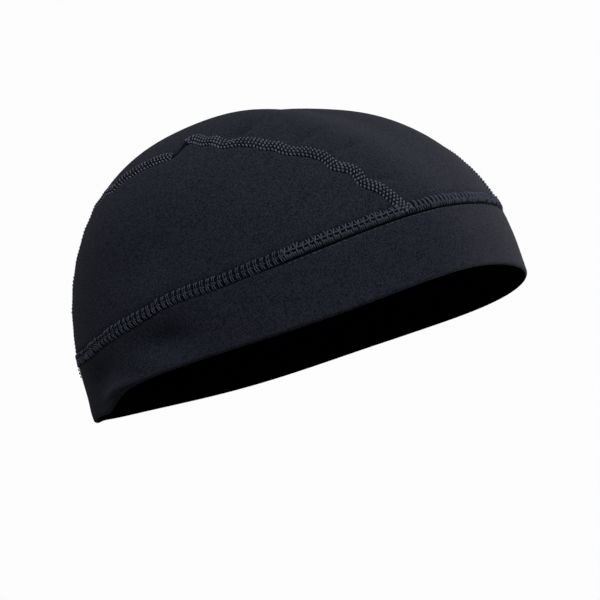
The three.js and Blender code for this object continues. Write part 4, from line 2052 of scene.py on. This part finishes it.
@dataclass(frozen=True)
class PhotoCamera:
    """The camera: a long lens at the wearer's right, a little ahead and below, and rolled."""

    azimuth: float = 34.0
    elevation: float = -9.311
    roll: float = 18.609
    distance: float = 1850.0
    target: Vector3 = (4.0, 0.0, 52.0)
    target_pixel: tuple[float, float] = (259.36, 234.74)
    pixels_per_mm: float = 2.3407
    image_pixels: float = 600.0
    sensor: float = 36.0
    clip_m: tuple[float, float] = (0.05, 100.0)

    def axes(self) -> tuple[Vector, Vector, Vector]:
        """The picture's own axes: to its right, to its top, and from the cap to the camera."""
        turn, tip, roll = (math.radians(a) for a in (self.azimuth, self.elevation, self.roll))
        back = Vector((math.sin(turn) * math.cos(tip), -math.cos(turn) * math.cos(tip), math.sin(tip)))
        level = Vector((math.cos(turn), math.sin(turn), 0))
        upright = back.cross(level)
        right = level * math.cos(roll) - upright * math.sin(roll)
        up = level * math.sin(roll) + upright * math.cos(roll)
        return right, up, back

    def build(self) -> bpy.types.Object:
        """Make the camera and set it as the scene's own."""
        right, up, back = self.axes()
        target = Vector(self.target)
        place = target + back * self.distance
        across = (self.image_pixels / 2 - self.target_pixel[0]) / self.pixels_per_mm
        down = (self.image_pixels / 2 - self.target_pixel[1]) / self.pixels_per_mm
        backward = (place - (target + right * across - up * down)).normalized()
        right = up.cross(backward).normalized()
        up = backward.cross(right)
        data = bpy.data.cameras.new("photo_camera")
        data.sensor_width = self.sensor
        data.lens = self.sensor * self.pixels_per_mm * self.distance / self.image_pixels
        data.clip_start, data.clip_end = self.clip_m
        made = piece_from("photo_camera", data)
        turned = Matrix((right, up, backward)).transposed().to_4x4()
        made.matrix_world = Matrix.Translation(place * MM) @ turned
        bpy.context.scene.camera = made
        return made


@dataclass(frozen=True)
class SoftLight:
    """A round soft box, placed by its direction in the picture: 0 from the camera, 90 from the right."""

    name: str
    turn: float
    tip: float
    distance_m: float
    size_m: float
    power_w: float

    def build(self, camera: PhotoCamera) -> bpy.types.Object:
        """Make the light and turn it to the cap.

        Args:
            camera: The camera, which the light's angles start from.

        Returns:
            The light.
        """
        right, up, back = camera.axes()
        turn, tip = math.radians(self.turn), math.radians(self.tip)
        away = (right * math.sin(turn) + back * math.cos(turn)) * math.cos(tip) + up * math.sin(tip)
        target = Vector(camera.target) * MM
        data = bpy.data.lights.new(self.name, "AREA")
        data.shape = "DISK"
        data.size = self.size_m
        data.energy = self.power_w
        made = piece_from(self.name, data)
        made.location = target + away * self.distance_m
        made.rotation_mode = "QUATERNION"
        made.rotation_quaternion = away.to_track_quat("Z", "Y")
        return made


@dataclass(frozen=True)
class Studio:
    """A plain pale floor, a pale surround that is weaker from below, and soft lights."""

    floor_drop_m: float = 1.65
    sweep_radius_m: float = 9.0
    sweep_white: float = 0.98
    sweep_segments: int = 96
    sweep_rings: int = 64
    surround: str = "#f7f8fa"
    surround_strength: float = 0.215
    surround_fall: float = 0.5
    lights: tuple[SoftLight, ...] = (
        SoftLight("top_soft_box", -27.0, 56.0, 1.6, 1.0, 10.8),
        SoftLight("front_soft_box", 30.0, 34.0, 1.6, 1.0, 8.4),
        SoftLight("right_edge_soft_box", 124.0, 6.0, 1.6, 1.0, 17.0),
    )

    def sweep(self) -> None:
        """Make the seamless sweep: a flat pale floor that curves up all round into the backdrop."""
        bpy.ops.mesh.primitive_uv_sphere_add(
            segments=self.sweep_segments, ring_count=self.sweep_rings, radius=self.sweep_radius_m
        )
        made = bpy.context.active_object
        made.name = "studio_sweep"
        for point in made.data.vertices:
            point.co.z = max(point.co.z, -self.floor_drop_m)
        paper = bpy.data.materials.new("lit_white_paper")
        paper.use_nodes = True
        paper.node_tree.nodes.clear()
        glow = add_node(paper.node_tree, "ShaderNodeEmission", {"Strength": self.sweep_white})
        add_node(paper.node_tree, "ShaderNodeOutputMaterial", {"Surface": glow.outputs["Emission"]})
        made.data.materials.append(paper)
        made.visible_diffuse = False
        made.visible_glossy = False
        made.visible_transmission = False
        made.visible_shadow = False

    def build(self, camera: PhotoCamera) -> None:
        """Make the surround's light, the sweep and the soft boxes.

        Args:
            camera: The camera, which the lights' angles start from.
        """
        world = bpy.data.worlds.new("pale_surround")
        bpy.context.scene.world = world
        world.use_nodes = True
        world.node_tree.nodes.clear()
        way = add_node(world.node_tree, "ShaderNodeTexCoord")
        parts = add_node(world.node_tree, "ShaderNodeSeparateXYZ", {"Vector": way.outputs["Generated"]})
        strength = add_node(
            world.node_tree,
            "ShaderNodeMapRange",
            {
                "Value": parts.outputs["Z"],
                "From Min": -1.0,
                "To Min": self.surround_strength * (1 - self.surround_fall),
                "To Max": self.surround_strength * (1 + self.surround_fall),
            },
        )
        glow = add_node(
            world.node_tree,
            "ShaderNodeBackground",
            {"Color": linear(self.surround), "Strength": strength.outputs["Result"]},
        )
        add_node(world.node_tree, "ShaderNodeOutputWorld", {"Surface": glow.outputs["Background"]})
        self.sweep()
        for light in self.lights:
            light.build(camera)


@dataclass
class HelmetLinerCap:
    """The whole cap, built from its form."""

    form: CapForm
    seams: tuple[SeamSide, ...] = (RIGHT, LEFT)
    tip_cut: float = 0.6
    centre_flat_mm: tuple[float, float] = (112.0, 244.0)
    centre_area_mm2: float = 22000.0
    side_flat_mm: tuple[float, float] = (62.0, 172.0)
    side_area_mm2: float = 8300.0
    pieces: list[bpy.types.Object] = field(default_factory=list)

    def centre_panel(self) -> Panel:
        """The panel over the crown, between the two crown seams."""
        form = self.form
        near = form.seam_line(RIGHT, -0.5, Panel.under_seam)
        far = form.seam_line(LEFT, -0.5, Panel.under_seam)
        near_front, near_back = form.end_bearings(near)
        far_front, far_back = form.end_bearings(far)
        beside = Recess(depth=0.22, reach=0.6, roll=0.08)
        return Panel(
            form,
            name="centre_panel_cloth",
            node="centre_panel",
            near=near,
            far=far,
            front=form.band_line(near_front, far_front),
            back=form.band_line(near_back % (2 * np.pi), far_back % (2 * np.pi)),
            near_recess=beside,
            far_recess=beside,
            flat_mm=self.centre_flat_mm,
            flat_area_mm2=self.centre_area_mm2,
        )

    def side_panel(self, side: SeamSide) -> Panel:
        """The panel over one ear, between a crown seam and the band's seam.

        Args:
            side: The side that it is on.

        Returns:
            The panel, not built yet.
        """
        form = self.form
        near = form.seam_line(side, 0.5, -Panel.under_seam)
        first, last = form.end_bearings(near)
        cut = side.sign * self.tip_cut / form.half_width
        far = form.band_line(first + cut, last - cut)
        near_front, near_back = unit(near(np.array([0.0, 1.0])))
        far_front, far_back = unit(far(np.array([0.0, 1.0])))
        return Panel(
            form,
            name=f"side_panel_{side.name.value}_cloth",
            node=f"side_panel_{side.name.value}",
            near=near,
            far=far,
            front=straight(near_front, far_front),
            back=straight(near_back, far_back),
            near_recess=Recess(depth=1.0, reach=0.7, roll=0.1),
            far_recess=Recess(depth=0.3, reach=0.7, roll=0.1),
            flat_mm=self.side_flat_mm,
            flat_area_mm2=self.side_area_mm2,
            steps_along=220,
            steps_across=70,
            end_recess=Recess(depth=0, reach=1, roll=0),
        )

    def build(self, finishes: Finishes) -> None:
        """Make every piece of the cap.

        Args:
            finishes: The cap's materials.
        """
        self.pieces.append(Band(self.form).build(finishes))
        self.pieces.append(self.centre_panel().build(finishes))
        band_seam = BandSeam(self.form)
        self.pieces.append(band_seam.bed(finishes))
        self.pieces += [band_seam.threads(finishes), band_seam.inner_threads(finishes)]
        for side in self.seams:
            self.pieces.append(self.side_panel(side).build(finishes))
            seam = CrownSeam(self.form, side=side)
            self.pieces.append(seam.bed(finishes))
            self.pieces += [seam.threads(finishes), seam.inner_threads(finishes)]


def form_from_frame() -> CapForm:
    """The form's driving sizes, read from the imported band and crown."""
    low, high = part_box("band")
    _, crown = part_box("centre_panel")
    return CapForm(
        front_reach=high.x / MM,
        back_reach=-low.x / MM,
        half_width=high.y / MM,
        crown_height=crown.z / MM,
    )


def main() -> None:
    """Build the cap and its studio, and report each piece."""
    logging.basicConfig(level=logging.INFO, format="%(name)s: %(message)s")
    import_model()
    camera = PhotoCamera()
    camera.build()
    Studio().build(camera)
    bpy.context.scene.view_settings.view_transform = "Standard"
    cap = HelmetLinerCap(form_from_frame())
    cap.build(Finishes.make())
    for made in cap.pieces:
        log.info("%s: %d faces", made.name, len(made.data.polygons))


if __name__ == "__main__":
    main()
